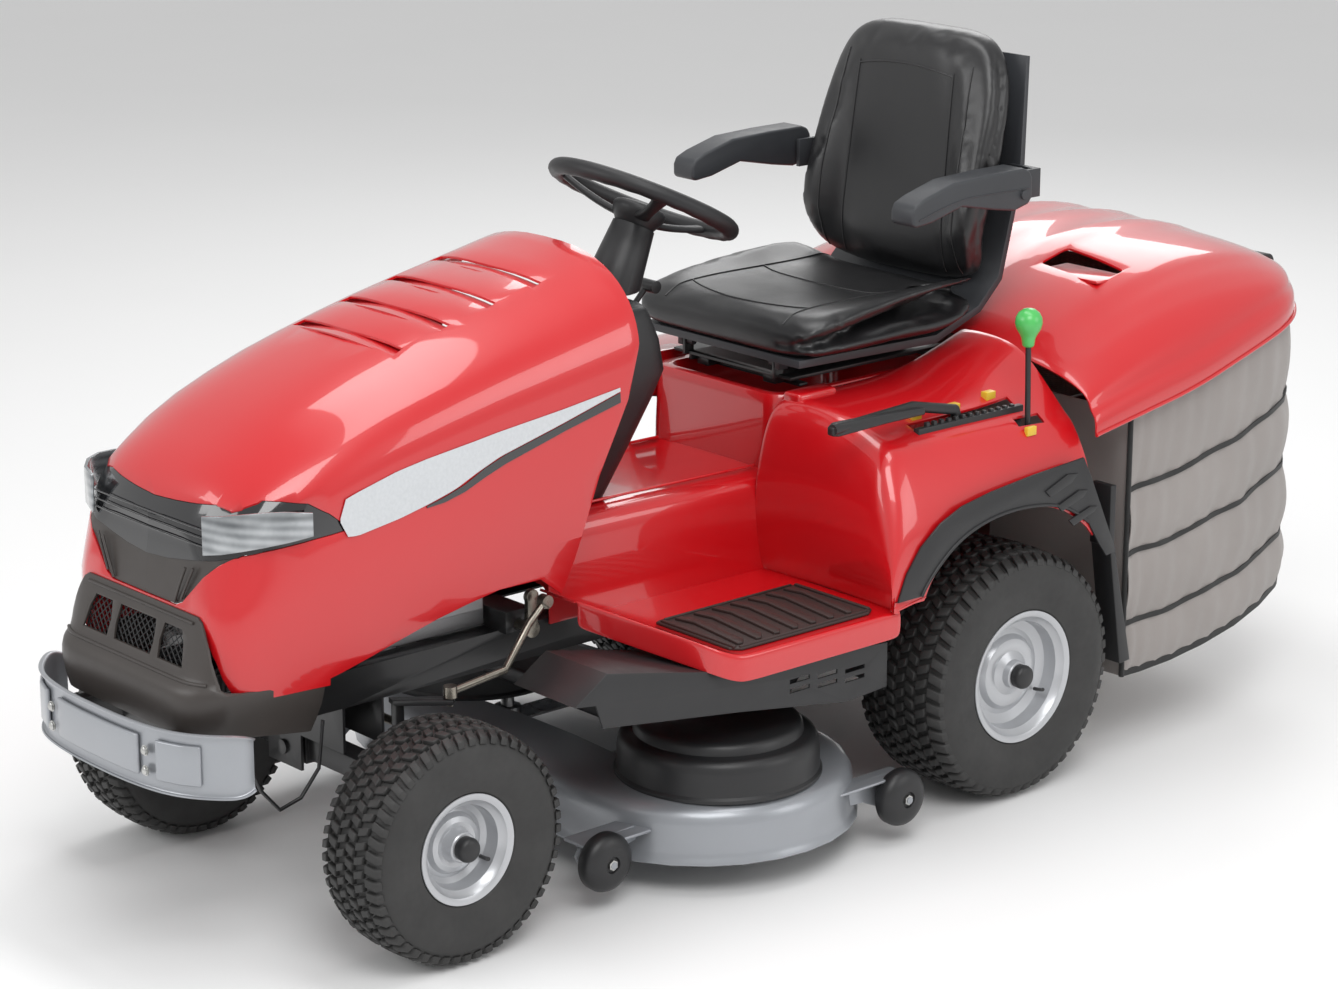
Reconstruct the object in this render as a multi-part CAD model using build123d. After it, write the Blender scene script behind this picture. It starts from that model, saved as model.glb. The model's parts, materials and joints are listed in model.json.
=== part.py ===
from build123d import *
import math
import os

os.makedirs("parts", exist_ok=True)

# Riding lawn mower with a rear collector. Millimetres, +Z up, -Y forward, +X the machine's left.
# The origin is on the ground, midway along the whole length and on the centre plane.

# overall
LENGTH = 2410.0
WIDTH = 1055.0
# wheels
FRONT_AXLE_Y = -817.0
FRONT_R = 189.0
FRONT_W = 146.0
FRONT_X = 359.0
FRONT_BEAD_R = 80.0
REAR_AXLE_Y = 337.0
REAR_R = 220.0
REAR_W = 204.0
REAR_X = 393.0
REAR_BEAD_R = 108.0
TREAD = 7.0
SPINDLE_R = 10.0
SHAFT_R = 11.0
RUN = 0.08
# steering
KING_X = 250.0
ARM_Y = 90.0
BALL_X = 305.0
BALL_Y = -757.0
PITMAN_Y = -520.0
PITMAN_Z = 425.0
PITMAN_ARM = 55.0
WHEEL_Y = -100.0
WHEEL_Z = 1035.0
WHEEL_R = 158.0
WHEEL_TILT = 27.0
# chassis
RAIL_X0 = 120.0
RAIL_X1 = 160.0
RAIL_Z0 = 355.0
RAIL_Z1 = 415.0
RAIL_FRONT = -1080.0
RAIL_REAR = 560.0
AXLE_PIVOT_Z = 250.0
# bonnet
HOOD_HALF = 255.0
HOOD_WALL = 4.0
HOOD_PIVOT_Y = -1140.0
HOOD_PIVOT_Z = 425.0
# deck
LOBE_X = 262.5
LOBE_Y = -205.0
LOBE_R = 265.0
DECK_Z0 = 55.0
DECK_Z1 = 150.0
BLADE_X = 250.0
BLADE_R = 236.0
SCALP_R = 49.0
SCALP_W = 38.0
# seat
SEAT_HALF = 240.0
# collector
BAG_TOP = 900.0
BAG_REAR = LENGTH / 2


def save(name, shape):
    export_step(shape, "parts/" + name + ".step")


def block(x0, x1, y0, y1, z0, z1):
    return Pos((x0 + x1) / 2, (y0 + y1) / 2, (z0 + z1) / 2) * Box(x1 - x0, y1 - y0, z1 - z0)


def pair(solid):
    return solid + mirror(solid, about=Plane.YZ)


def both(solid):
    return Compound(children=[s for s in solid.solids()] + [s for s in mirror(solid, about=Plane.YZ).solids()])


def rod_x(r, x0, x1, y, z):
    return Pos((x0 + x1) / 2, y, z) * Rot(0, 90, 0) * Cylinder(r, x1 - x0)


def rod_y(r, y0, y1, x, z):
    return Pos(x, (y0 + y1) / 2, z) * Rot(90, 0, 0) * Cylinder(r, y1 - y0)


def rod_z(r, z0, z1, x, y):
    return Pos(x, y, (z0 + z1) / 2) * Cylinder(r, z1 - z0)


def bar(a, b, r):
    start = Vector(*a)
    end = Vector(*b)
    along = end - start
    return extrude(Plane(origin=start, z_dir=along) * Circle(r), along.length)


def wire_bar(points, r):
    solid = bar(points[0], points[1], r)
    for i in range(1, len(points) - 1):
        solid += bar(points[i], points[i + 1], r)
    for p in points[1:-1]:
        solid += Pos(*p) * Sphere(r)
    return solid


def face_of(points):
    return make_face(Polyline(*points, close=True))


def prism_x(points, x0, x1):
    return extrude(face_of([(x0, y, z) for y, z in points]), x1 - x0, dir=(1, 0, 0))


def prism_y(points, y0, y1):
    return extrude(face_of([(x, y0, z) for x, z in points]), y1 - y0, dir=(0, 1, 0))


def prism_z(points, z0, z1):
    return extrude(face_of([(x, y, z0) for x, y in points]), z1 - z0, dir=(0, 0, 1))


def spun_x(points, x, y, z):
    profile = face_of([(x + dx, y, z + r) for dx, r in points])
    return revolve(profile, axis=Axis((x, y, z), (1, 0, 0)))


def skin(sections, ruled=True):
    return loft([face_of(s) for s in sections], ruled=ruled)


# ---------------------------------------------------------------- chassis
def chassis_frame():
    rail = block(RAIL_X0, RAIL_X1, RAIL_FRONT, RAIL_REAR, RAIL_Z0, RAIL_Z1)
    rail -= block(RAIL_X0 - 1, RAIL_X1 - 4, RAIL_FRONT - 1, RAIL_REAR + 1, RAIL_Z0 + 4, RAIL_Z1 - 4)
    frame = pair(rail)
    frame += block(-RAIL_X1, RAIL_X1, RAIL_FRONT, RAIL_FRONT + 5, 310, RAIL_Z1)
    # two cross plates carry the pin the front axle rocks on
    for y in (FRONT_AXLE_Y - 40, FRONT_AXLE_Y + 35):
        plate = block(-RAIL_X1, RAIL_X1, y, y + 5, 280, RAIL_Z1)
        plate += block(-45, 45, y, y + 5, 220, 280)
        frame += plate
    frame += rod_y(12, FRONT_AXLE_Y - 46, FRONT_AXLE_Y + 46, 0, AXLE_PIVOT_Z)
    # cross members under the engine and in front of the chute
    frame += block(-RAIL_X1, RAIL_X1, -620, -580, RAIL_Z0, RAIL_Z0 + 5)
    frame += block(-RAIL_X1, RAIL_X1, -60, -20, RAIL_Z0, RAIL_Z0 + 5)
    # rear plate with the tow lip under the collector
    frame += block(-RAIL_X1, RAIL_X1, RAIL_REAR - 5, RAIL_REAR, 270, 342)
    frame += pair(block(RAIL_X0, RAIL_X1, RAIL_REAR - 5, RAIL_REAR, 300, RAIL_Z1))
    lip = block(-45, 45, RAIL_REAR - 2, RAIL_REAR + 42, 270, 278)
    lip -= rod_z(8, 260, 290, 0, RAIL_REAR + 22)
    frame += lip
    # hangers that hold the transaxle, and arms out to the bumper
    frame += pair(block(RAIL_X0, RAIL_X0 + 5, REAR_AXLE_Y - 60, REAR_AXLE_Y + 60, 170, RAIL_Z0 + 2)
                  - rod_x(SHAFT_R + 6, RAIL_X0 - 5, RAIL_X0 + 20, REAR_AXLE_Y, REAR_R))
    frame += pair(block(118, 144, RAIL_FRONT - 103, RAIL_FRONT + 2, 318, 366))
    # bonnet hinge ears
    ear = block(84, 92, HOOD_PIVOT_Y - 7, RAIL_FRONT + 2, HOOD_PIVOT_Z - 7, HOOD_PIVOT_Z + 8)
    ear += block(84, RAIL_X0 + 6, RAIL_FRONT - 1, RAIL_FRONT + 5, RAIL_Z1 - 20, HOOD_PIVOT_Z + 9)
    ear += rod_x(5, 78, 98, HOOD_PIVOT_Y, HOOD_PIVOT_Z)
    frame += pair(ear)
    # box that carries the pitman shaft
    frame += block(90, 178, PITMAN_Y - 26, PITMAN_Y + 26, RAIL_Z1 - 2, PITMAN_Z + 24)
    frame -= rod_x(9 + RUN, 120, 190, PITMAN_Y, PITMAN_Z)
    return frame


def bumper():
    inner = [(0, -1193), (120, -1190), (200, -1170), (255, -1122), (262, -1090)]
    outer = [(270, -1090), (263, -1126), (206, -1178), (124, -1202), (0, -LENGTH / 2)]
    half = prism_z(inner + outer, 299, 403)
    return pair(half)


def bumper_bolts():
    bolts = []
    for x in (-131, 131):
        for z in (330, 362):
            bolts.append(rod_y(6.5, -1204.9, -1202.05, x, z))
    return Compound(children=bolts)


def wire_loop():
    points = [(175, -1060, 352), (175, -1024, 266), (175, -990, 226), (175, -950, 236), (175, -915, 276),
              (175, -905, 352)]
    return wire_bar(points, 3)


def side_covers():
    # slotted wing that hangs below the footrest and reaches forward over the deck
    profile = [(-640, 386), (-575, 427), (-300, 369), (30, 345), (30, 268), (-60, 262), (-300, 300), (-584, 340),
               (-598, 380)]
    wing = prism_x(profile, 314, 464)
    wing -= prism_x([(-630, 386), (-573, 422), (-300, 364), (26, 340), (26, 264), (-60, 250), (-300, 290), (-600, 320),
                     (-640, 360)],
                    310, 460)
    for row in range(2):
        for k in range(3):
            y = -190 + 62 * k
            z = 322 - 16 * row - 5 * k
            wing -= block(456, 475, y, y + 44, z, z + 7)
    return both(wing)


def engine_block():
    body = block(-130, 130, -800, -552, 420, 560)
    body += block(-190, 190, -760, -600, 470, 580)
    body += rod_z(22, 360, 425, 0, -660)
    return body


def engine_shroud():
    cover = block(-150, 150, -800, -500, 582, 650)
    cover += rod_z(120, 650, 700, 0, -650)
    return cover


def muffler():
    return rod_x(48, -150, 150, -870, 480)


def transaxle():
    case = block(-100, 100, 250, 420, 165, 275)
    case += block(-117, 117, 290, 385, 185, 262)
    case -= rod_x(SHAFT_R + RUN, -130, 130, REAR_AXLE_Y, REAR_R)
    return case


def discharge_chute():
    outer = [(72, 62), (72, 250), (155, 420), (230, 470), (596, 540), (596, 352), (235, 296), (190, 190)]
    inner = [(60, 66), (60, 249), (72, 249), (152, 415), (229, 465), (610, 538), (610, 357), (230, 300), (186, 192),
             (72, 66)]
    return prism_x(outer, -112, 112) - prism_x(inner, -108, 108)


# ---------------------------------------------------------------- rear body
def fender_section(y, drop, rise, inset):
    # half section of one fender at a station along the machine
    return [
        (168 + inset, y, 415 - rise),
        (168 + inset, y, 700 - drop - inset),
        (300, y, 716 - drop - inset),
        (436, y, 662 - drop - inset),
        (494 - inset, y, 570 - drop - inset),
        (498 - inset, y, 415 - rise),
    ]


def fenders():
    outer = skin([fender_section(22, 0, 0, 0), fender_section(80, 0, 0, 0), fender_section(340, 6, 0, 0),
                  fender_section(488, 40, 0, 0)])
    inner = skin([fender_section(26, 0, 30, 4), fender_section(80, 0, 30, 4), fender_section(340, 6, 30, 4),
                  fender_section(500, 42, 30, 4)])
    part = outer - inner
    arch = prism_x([(70, 380), (80, 440), (150, 500), (250, 528), (380, 522), (470, 470), (560, 380)], 330, 520)
    part -= arch
    part -= prism_x([(120, 380), (130, 440), (200, 470), (480, 470), (560, 380)], 160, 340)
    part -= block(320, 520, 60, 120, 400, 440)
    # slots the two levers come up through
    part -= block(378, 406, 150, 392, 560, 720)
    part -= block(421, 437, 360, 424, 560, 720)
    # pins on brackets under the top that the levers turn on
    part += block(364, 370, 284, 316, 545, 682) + rod_x(6, 368, 410, 300, 560)
    part += block(440, 446, 378, 406, 590, 652) + rod_x(4, 418, 442, 392, 600)
    return part


def footwell():
    # floor, its outer skirt, and the sloping toe board in front
    slope = [(-330, 402), (-330, 407), (-468, 472), (-468, 467)]
    below = [(-330, 401), (-330, 405), (-468, 470), (-468, 420)]
    plan = [(165, -330), (500, -330), (470, -372), (262, -466), (165, -466)]
    edge = [(470, -372), (262, -466), (262, -461), (469, -367)]
    floor = block(165, 500, -331, 24, 402, 407)
    floor += prism_x(slope, 165, 500) & prism_z(plan, 390, 480)
    floor += prism_x(below, 165, 500) & prism_z(edge, 390, 480)
    floor += block(496, 500, -330, 24, 362, 407)
    floor += prism_z([(500, -330), (470, -372), (467, -370), (496, -329)], 368, 407)
    return floor


def tunnel():
    outer = prism_y([(-168, 400), (-168, 548), (-130, 566), (130, 566), (168, 548), (168, 400)], -440, 62)
    inner = prism_y([(-164, 390), (-164, 546), (-128, 562), (128, 562), (164, 546), (164, 390)], -450, 58)
    part = outer - inner - block(-163, 163, 50, 70, 390, 430)
    # boxed base below the seat
    base = prism_y([(-172, 560), (-160, 700), (160, 700), (172, 560)], 58, 488)
    base -= prism_y([(-167, 550), (-156, 696), (156, 696), (167, 550)], 62, 560)
    # the steering shaft comes down through the tunnel
    return part + base - bar(along_column(-640), along_column(-400), 24)


def fender_body():
    side = fenders() + footwell()
    body = pair(side) + tunnel()
    return body


def footrest_mats():
    mat = block(282, 478, -325, -8, 407.5, 415)
    for k in range(9):
        y = -312 + 34 * k
        mat += prism_z([(292, y), (468, y + 14), (468, y + 22), (292, y + 8)], 414, 419)
    return both(mat)


def arch_trims():
    outer = [(14, 428), (60, 488), (150, 548), (270, 575), (455, 592), (470, 560), (545, 408), (520, 404)]
    inner = [(470, 476), (382, 528), (250, 534), (146, 506), (74, 446), (66, 428)]
    band = prism_x(outer + inner, 499, 503)
    for k in range(3):
        y = 415 + 22 * k
        z = 535 - 34 * k
        band += prism_x([(y, z), (y + 46, z + 20), (y + 50, z + 12), (y + 4, z - 8)], 502.5, 507)
    return both(band)


def rear_posts():
    post = prism_x([(548, 420), (560, 415), (612, 190), (585, 188)], 440, 486)
    post += prism_x([(546, 520), (560, 520), (560, 410), (546, 410)], 440, 486)
    return both(post)


# ---------------------------------------------------------------- dash and steering
AXIS = (0, math.sin(math.radians(WHEEL_TILT)), math.cos(math.radians(WHEEL_TILT)))


def along_column(t):
    return (0, WHEEL_Y + t * AXIS[1], WHEEL_Z + t * AXIS[2])


def dash_panel():
    outer = skin([
        [(-170, -455, 568), (170, -455, 568), (170, -215, 568), (-170, -215, 568)],
        [(-165, -370, 780), (165, -370, 780), (150, -150, 780), (-150, -150, 780)],
        [(-150, -300, 890), (150, -300, 890), (130, -180, 890), (-130, -180, 890)],
    ])
    hole = bar(along_column(-560), along_column(-90), 30)
    return outer - hole


def column_cover():
    cover = extrude(Plane(origin=along_column(-175), z_dir=AXIS) * Circle(50), 128, taper=6)
    cover -= bar(along_column(-190), along_column(-30), 16)
    cover -= block(-100, 100, -300, 100, 780, 890.5)
    return cover


def steering_shaft():
    shaft = bar(along_column(-600), along_column(-8), 11)
    shaft += bar(along_column(-630), along_column(-596), 18)
    return shaft


def steering_wheel():
    place = Plane(origin=along_column(0), z_dir=AXIS)
    rim = place * Torus(WHEEL_R - 2, 15)
    hub = extrude(Plane(origin=along_column(-46), z_dir=AXIS) * Circle(34), 40)
    hub -= bar(along_column(-60), along_column(0), 11)
    wheel = rim + hub
    for k in range(3):
        a = math.radians(90 + 120 * k)
        spoke = Pos(0, 0, -20) * Rot(0, 0, math.degrees(a)) * Pos(88, 0, 6) * Box(126, 30, 9)
        wheel += place * spoke
    return wheel


def choke_knob():
    stem = bar((-60, -150, 760), (-60, -46, 864), 5)
    stem += bar((-84, -40, 870), (-36, -40, 870), 11)
    return stem


# ---------------------------------------------------------------- bonnet
def hood_section(y, half, low, top, shoulder):
    # closed arch across the bonnet
    span = shoulder - low
    rise = top - shoulder
    right = [(half, low), (half + 3, low + span * 0.4), (half - 6, shoulder), (half * 0.8, shoulder + rise * 0.6),
             (half * 0.42, top - rise * 0.08)]
    left = [(-x, z) for x, z in reversed(right)]
    return [(x, y, z) for x, z in right + left]


def hood_stations(w, drop):
    return [
        hood_section(-1084 + w, 190 - w, 600 - drop, 700 - w, 672 - w),
        hood_section(-1040, 226 - w, 440 - drop, 764 - w, 715 - w),
        hood_section(-900, 244 - w, 440 - drop, 848 - w, 765 - w),
        hood_section(-700, 251 - w, 440 - drop, 915 - w, 800 - w),
        hood_section(-500, 252 - w, 440 - drop, 962 - w, 835 - w),
        hood_section(-312 + w, 252 - w, 440 - drop, 1004 - w, 866 - w),
    ]


def hood_shell():
    shell = skin(hood_stations(0, 0)) - skin(hood_stations(HOOD_WALL, 30))
    # the lower edge sweeps up over the front wheels, the rear edge leans forward going down
    shell -= prism_x([(-1200, 300), (-1200, 690), (-1078, 690), (-1078, 600), (-1075, 540), (-940, 441), (-809, 478),
                      (-672, 498), (-533, 524), (-468, 484), (-300, 484), (-300, 300)], -300, 300)
    shell -= prism_x([(-200, 1100), (-313, 1010), (-320, 868), (-349, 781), (-412, 669), (-464, 539), (-500, 472),
                      (-480, 400), (-200, 400)], -300, 300)
    # the light band fills this part of the nose
    nose = [(-219, -998), (-206, -1069), (-151, -1093), (0, -1101), (151, -1093), (206, -1069), (219, -998)]
    shell -= prism_z(nose, 603, 695)
    return shell


def light_band():
    points = [(-218, -1000), (-205, -1068), (-150, -1092), (0, -1100), (150, -1092), (205, -1068), (218, -1000)]
    inner = [(x * 0.97, y + 7) for x, y in reversed(points)]
    return prism_z(points + inner, 604, 694)


def grille_panel():
    panel = prism_y([(-105, 540), (-140, 600), (140, 600), (105, 540)], -1092, -1084)
    return panel


def fairing_section(z, side, side_y, front, front_y, nose, nose_y, w=0.0):
    right = [(side - w, side_y), (front - w, front_y + w), (nose - w * 0.7, nose_y + w)]
    left = [(-x, y) for x, y in reversed(right)]
    return [(x, y, z) for x, y in right + left]


def fairing():
    outer = skin([
        fairing_section(346, 205, -940, 190, -1080, 140, -1148),
        fairing_section(448, 230, -940, 214, -1080, 150, -1157),
        fairing_section(590, 222, -1000, 205, -1082, 140, -1104),
    ])
    inner = skin([
        fairing_section(345, 205, -930, 190, -1080, 140, -1148, 4),
        fairing_section(448, 230, -930, 214, -1080, 150, -1157, 4),
        fairing_section(591, 222, -990, 205, -1082, 140, -1104, 4),
    ])
    part = outer - inner
    # the lower edge rises towards the nose, the upper edge steps down behind the corner
    part -= prism_x([(-1200, 300), (-1200, 380), (-1150, 378), (-936, 348), (-900, 300)], -260, 260)
    part -= prism_x([(-1200, 600), (-1200, 534), (-1068, 530), (-936, 426), (-900, 426), (-900, 600)], -260, 260)
    # three windows in the nose, closed by a thin mesh
    for x in (-134, -43, 48):
        part -= block(x, x + 86, -1180, -1095, 466, 522)
        part += block(x - 2, x + 88, -1134, -1132, 462, 526)
    # hinge lugs on the frame pin
    lug = block(97.5, 103, HOOD_PIVOT_Y - 9, HOOD_PIVOT_Y + 9, HOOD_PIVOT_Z - 9, HOOD_PIVOT_Z + 9)
    lug += block(97.5, 103, -1153, HOOD_PIVOT_Y, HOOD_PIVOT_Z - 9, HOOD_PIVOT_Z + 9)
    part += pair(lug - rod_x(5 + RUN, 96, 105, HOOD_PIVOT_Y, HOOD_PIVOT_Z))
    return part


# ---------------------------------------------------------------- front axle
def axle_beam():
    beam = block(-232, 232, FRONT_AXLE_Y - 20, FRONT_AXLE_Y + 20, 232, 268)
    beam += block(-38, 38, FRONT_AXLE_Y - 26, FRONT_AXLE_Y + 26, 226, 274)
    beam += pair(rod_z(20, 226, 300, KING_X, FRONT_AXLE_Y))
    beam -= rod_y(12 + RUN, FRONT_AXLE_Y - 60, FRONT_AXLE_Y + 60, 0, AXLE_PIVOT_Z)
    for s in (-1, 1):
        beam -= rod_z(SPINDLE_R + RUN, 200, 320, s * KING_X, FRONT_AXLE_Y)
    return beam


def knuckle(side):
    x = side * KING_X
    part = rod_z(SPINDLE_R, 180, 386, x, FRONT_AXLE_Y)
    part += block(x - 17, x + 17, FRONT_AXLE_Y - 17, FRONT_AXLE_Y + 17, 170, 222)
    part += rod_x(SPINDLE_R, min(x, side * 398), max(x, side * 398), FRONT_AXLE_Y, FRONT_R)
    # track arm, low and pointing back
    low = prism_z([(x - 12, FRONT_AXLE_Y), (x + 12, FRONT_AXLE_Y), (x + 12, FRONT_AXLE_Y + ARM_Y + 14),
                   (x - 12, FRONT_AXLE_Y + ARM_Y + 14)], 306, 314)
    part += low - rod_z(6 + RUN, 300, 320, x, FRONT_AXLE_Y + ARM_Y)
    if side > 0:
        arm = prism_z([(x - 12, FRONT_AXLE_Y - 8), (x + 8, FRONT_AXLE_Y - 14), (BALL_X + 12, BALL_Y - 4),
                       (BALL_X - 4, BALL_Y + 12)], 380, 388)
        part += arm - rod_z(5 + RUN, 370, 400, BALL_X, BALL_Y)
    return part


def tie_rod():
    y = FRONT_AXLE_Y + ARM_Y
    part = rod_x(7, -KING_X, KING_X, y, 292)
    for s in (-1, 1):
        part += rod_z(12, 282, 304, s * KING_X, y)
        part += rod_z(6, 300, 318, s * KING_X, y)
    return part


def drag_link():
    z = 398
    end = (246, PITMAN_Y, PITMAN_Z + PITMAN_ARM)
    part = wire_bar([(BALL_X, BALL_Y, z), (BALL_X - 12, -640, 404), (end[0] + 8, -560, 452), end], 6)
    part += rod_z(11, 390, 408, BALL_X, BALL_Y)
    part += rod_z(5, 376, 392, BALL_X, BALL_Y)
    part += rod_x(11, 238, 254, PITMAN_Y, PITMAN_Z + PITMAN_ARM)
    return part


def pitman_arm():
    arm = block(206, 216, PITMAN_Y - 10, PITMAN_Y + 10, PITMAN_Z, PITMAN_Z + PITMAN_ARM)
    arm += rod_x(14, 206, 216, PITMAN_Y, PITMAN_Z)
    arm += rod_x(12, 206, 216, PITMAN_Y, PITMAN_Z + PITMAN_ARM)
    arm += rod_x(9, 130, 210, PITMAN_Y, PITMAN_Z)
    return arm


# ---------------------------------------------------------------- wheels
def tyre(radius, width, bead_r, bead_half, x, y):
    h = width / 2
    mid = bead_r + (radius - bead_r) * 0.55
    b = bead_half - 0.3
    outer = [(-b, bead_r + 0.2), (-b, bead_r + 9.8), (-bead_half - 3, bead_r + 16), (-h, mid), (-h + 1, radius - 26),
             (-h + 12, radius - 7), (-h * 0.55, radius), (h * 0.55, radius), (h - 12, radius - 7),
             (h - 1, radius - 26), (h, mid), (bead_half + 3, bead_r + 16), (b, bead_r + 9.8), (b, bead_r + 0.2)]
    inner = [(bead_half - 12, bead_r + 0.2), (bead_half - 12, bead_r + 16), (h - 12, mid), (h - 16, radius - 20),
             (-h + 16, radius - 20), (-h + 12, mid), (-bead_half + 12, bead_r + 16), (-bead_half + 12, bead_r + 0.2)]
    return spun_x(outer + inner, x, y, radius)


def rim(radius, bead_r, bead_half, bore, side, x, y, cap_r):
    # side +1 has its outer face towards +X
    b = bead_half
    barrel = [(-b, bead_r - 3), (-b - 5, bead_r + 6), (-b - 5, bead_r + 9), (-b, bead_r + 9), (-b, bead_r),
              (b, bead_r), (b, bead_r + 9), (b + 5, bead_r + 9), (b + 5, bead_r + 6), (b, bead_r - 3)]
    dish = [(0, bore), (0, bead_r * 0.55), (-8, bead_r * 0.7), (-8, bead_r - 1), (-4, bead_r - 1),
            (-4, bead_r * 0.72), (5, bead_r * 0.57), (5, bore)]
    hub = [(-46, bore), (-46, 22), (b - 12, 22), (b - 12, bore)]
    cap = [(b - 12, 0), (b - 12, cap_r), (b + 8, cap_r), (b + 14, cap_r - 6), (b + 14, 0)]
    cavity = [(b - 13, 0), (b - 13, 15), (b - 4, 15), (b - 4, 0)]
    wheel = spun_x(barrel, x, y, radius)
    for profile in (dish, hub, cap):
        pts = [(side * dx, r) for dx, r in profile]
        wheel += spun_x(pts, x, y, radius)
    wheel -= spun_x([(side * dx, r) for dx, r in cavity], x, y, radius)
    return wheel


def half_shaft(side):
    x0 = 20
    x1 = REAR_X + 70
    return rod_x(SHAFT_R, min(side * x0, side * x1), max(side * x0, side * x1), REAR_AXLE_Y, REAR_R)


# ---------------------------------------------------------------- deck
def lobe_plan(r, z0, z1):
    plan = rod_z(r, z0, z1, LOBE_X, LOBE_Y) + rod_z(r, z0, z1, -LOBE_X, LOBE_Y)
    plan += block(-LOBE_X, LOBE_X, LOBE_Y - r + 12, LOBE_Y + r - 2, z0, z1)
    return plan


def deck_shell():
    shell = lobe_plan(LOBE_R, DECK_Z0, DECK_Z1) - lobe_plan(LOBE_R - 4, DECK_Z0 - 5, DECK_Z1 - 4)
    # grass leaves through the back, between the wheels
    shell -= block(-104, 104, LOBE_Y + 200, LOBE_Y + LOBE_R + 10, DECK_Z0 + 12, DECK_Z1 - 8)
    for s in (-1, 1):
        shell += rod_z(44, DECK_Z1 - 12, DECK_Z1 + 30, s * BLADE_X, LOBE_Y)
        shell -= rod_z(12 + RUN, DECK_Z0 - 20, DECK_Z1 + 60, s * BLADE_X, LOBE_Y)
    # brackets of the small ground wheels
    front = block(360, 372, -560, -440, 100, 112) + block(366, 372, -545, -440, 60, 112)
    front += rod_x(6, 366, 418, -522, 82)
    rear = block(470, 476, -80, 60, 60, 118) + rod_x(6, 470, 522, 32, 82)
    shell += pair(front) + pair(rear)
    return shell


def scalp_wheel(x, y):
    h = SCALP_W / 2
    profile = [(-h, 6 + RUN), (-h, SCALP_R - 9), (-h + 9, SCALP_R), (h - 14, SCALP_R), (h - 4, SCALP_R - 12),
               (h, 18), (h, 6 + RUN)]
    side = 1 if x > 0 else -1
    return spun_x([(side * dx, r) for dx, r in profile], x, y, 82)


def belt_covers():
    outer = rod_z(168, DECK_Z1 + 0.5, 218, 330, LOBE_Y - 20) + rod_z(140, 218, 240, 330, LOBE_Y - 20)
    inner = rod_z(164, DECK_Z1 - 2, 215, 330, LOBE_Y - 20) + rod_z(136, 213, 237, 330, LOBE_Y - 20)
    return both(outer - inner)


def blade(side):
    x = side * BLADE_X
    part = block(x - BLADE_R, x + BLADE_R, LOBE_Y - 27, LOBE_Y + 27, 76, 81)
    part += rod_z(24, 70, 100, x, LOBE_Y)
    part += rod_z(12, 78, 210, x, LOBE_Y)
    part += rod_z(58, 186, 206, x, LOBE_Y)
    if side < 0:
        part = Pos(x, LOBE_Y, 0) * Rot(0, 0, 90) * Pos(-x, -LOBE_Y, 0) * part
    return part


# ---------------------------------------------------------------- seat
def seat_rails():
    rail = block(70, 100, 110, 486, 701, 716)
    plate = block(-140, 140, 130, 150, 701, 706) + block(-140, 140, 450, 470, 701, 706)
    return pair(rail) + plate


def seat_slide_plate():
    part = block(-150, 150, 100, 470, 717.5, 723)
    part += pair(block(104, 110, 100, 470, 708, 720))
    # hinge ears at the front lip of the seat
    ear = block(112, 118, 92, 113, 718, 746)
    part += pair(ear - rod_x(6 + RUN, 105, 125, 102, 742))
    # cushion springs under the back of the pan
    part += pair(rod_z(27, 722, 744.5, 95, 400) - rod_z(20, 723.5, 750, 95, 400))
    return part


def seat_shell():
    # moulded pan and back shell in one piece
    pan = prism_x([(72, 753), (400, 745.5), (510, 785), (562, 835), (612, 1030), (618, 1225), (610, 1226),
                   (601, 1030), (552, 842), (503, 796), (400, 760), (72, 766)], -200, 200)
    pan += pair(rod_x(6, 98, 130, 102, 742) + block(119, 130, 92, 112, 734, 758))
    # side plates with the pins the armrests fold on
    pan += pair(block(236, 244, 480, 606, 985, 1035) + block(180, 238, 594, 606, 985, 1035)
                + rod_x(8, 240, 308, 500, 1010))
    return pan


def seat_cushion():
    part = prism_x([(62, 770), (80, 800), (200, 832), (400, 826), (486, 834), (494, 812), (398, 766), (80, 768)],
                   -SEAT_HALF, SEAT_HALF)
    bolster = prism_x([(120, 805), (260, 850), (430, 870), (480, 850), (486, 830), (200, 800)], 150, SEAT_HALF)
    return part + pair(bolster)


def seat_back():
    part = prism_x([(500, 822), (470, 860), (490, 1000), (500, 1190), (545, 1270), (600, 1270), (606, 1220),
                    (594, 1032), (544, 846), (522, 822)], -210, 210)
    bolster = prism_x([(480, 850), (430, 880), (424, 960), (462, 1070), (512, 1190), (512, 1000)], 140, 222)
    return part + pair(bolster)


def armrest(side):
    pad = prism_x([(232, 985), (232, 1022), (330, 1052), (500, 1056), (522, 1040), (522, 992), (480, 984),
                   (350, 1010)], 249, 305)
    pad -= rod_x(8 + RUN, 240, 320, 500, 1010)
    return pad if side > 0 else mirror(pad, about=Plane.YZ)


# ---------------------------------------------------------------- levers and pedal
def height_lever():
    part = wire_bar([(392, 300, 560), (392, 250, 690), (392, 150, 712), (420, -60, 714)], 9)
    part += rod_x(14, 380, 404, 300, 560)
    part -= rod_x(6 + RUN, 370, 420, 300, 560)
    return part


def mulch_lever():
    part = bar((429, 392, 600), (429, 387, 790), 5)
    part += rod_x(10, 421, 436, 392, 600)
    part += Pos(429, 387, 826) * Sphere(24)
    part += Pos(429, 387, 798) * Cylinder(12, 30)
    part -= rod_x(4 + RUN, 415, 440, 392, 600)
    return part


def drive_pedal():
    part = block(-300, -226, -420, -330, 475, 481)
    part += bar((-240, -380, 477), (-240, -300, 425), 7)
    part += rod_x(9, -262, -176, -300, 425)
    return part


# ---------------------------------------------------------------- collector
def bag_section(y, half, low, top, crown):
    return [(-half, y, low), (half, y, low), (half, y, top), (half * 0.8, y, crown), (-half * 0.8, y, crown),
            (-half, y, top)]


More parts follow.
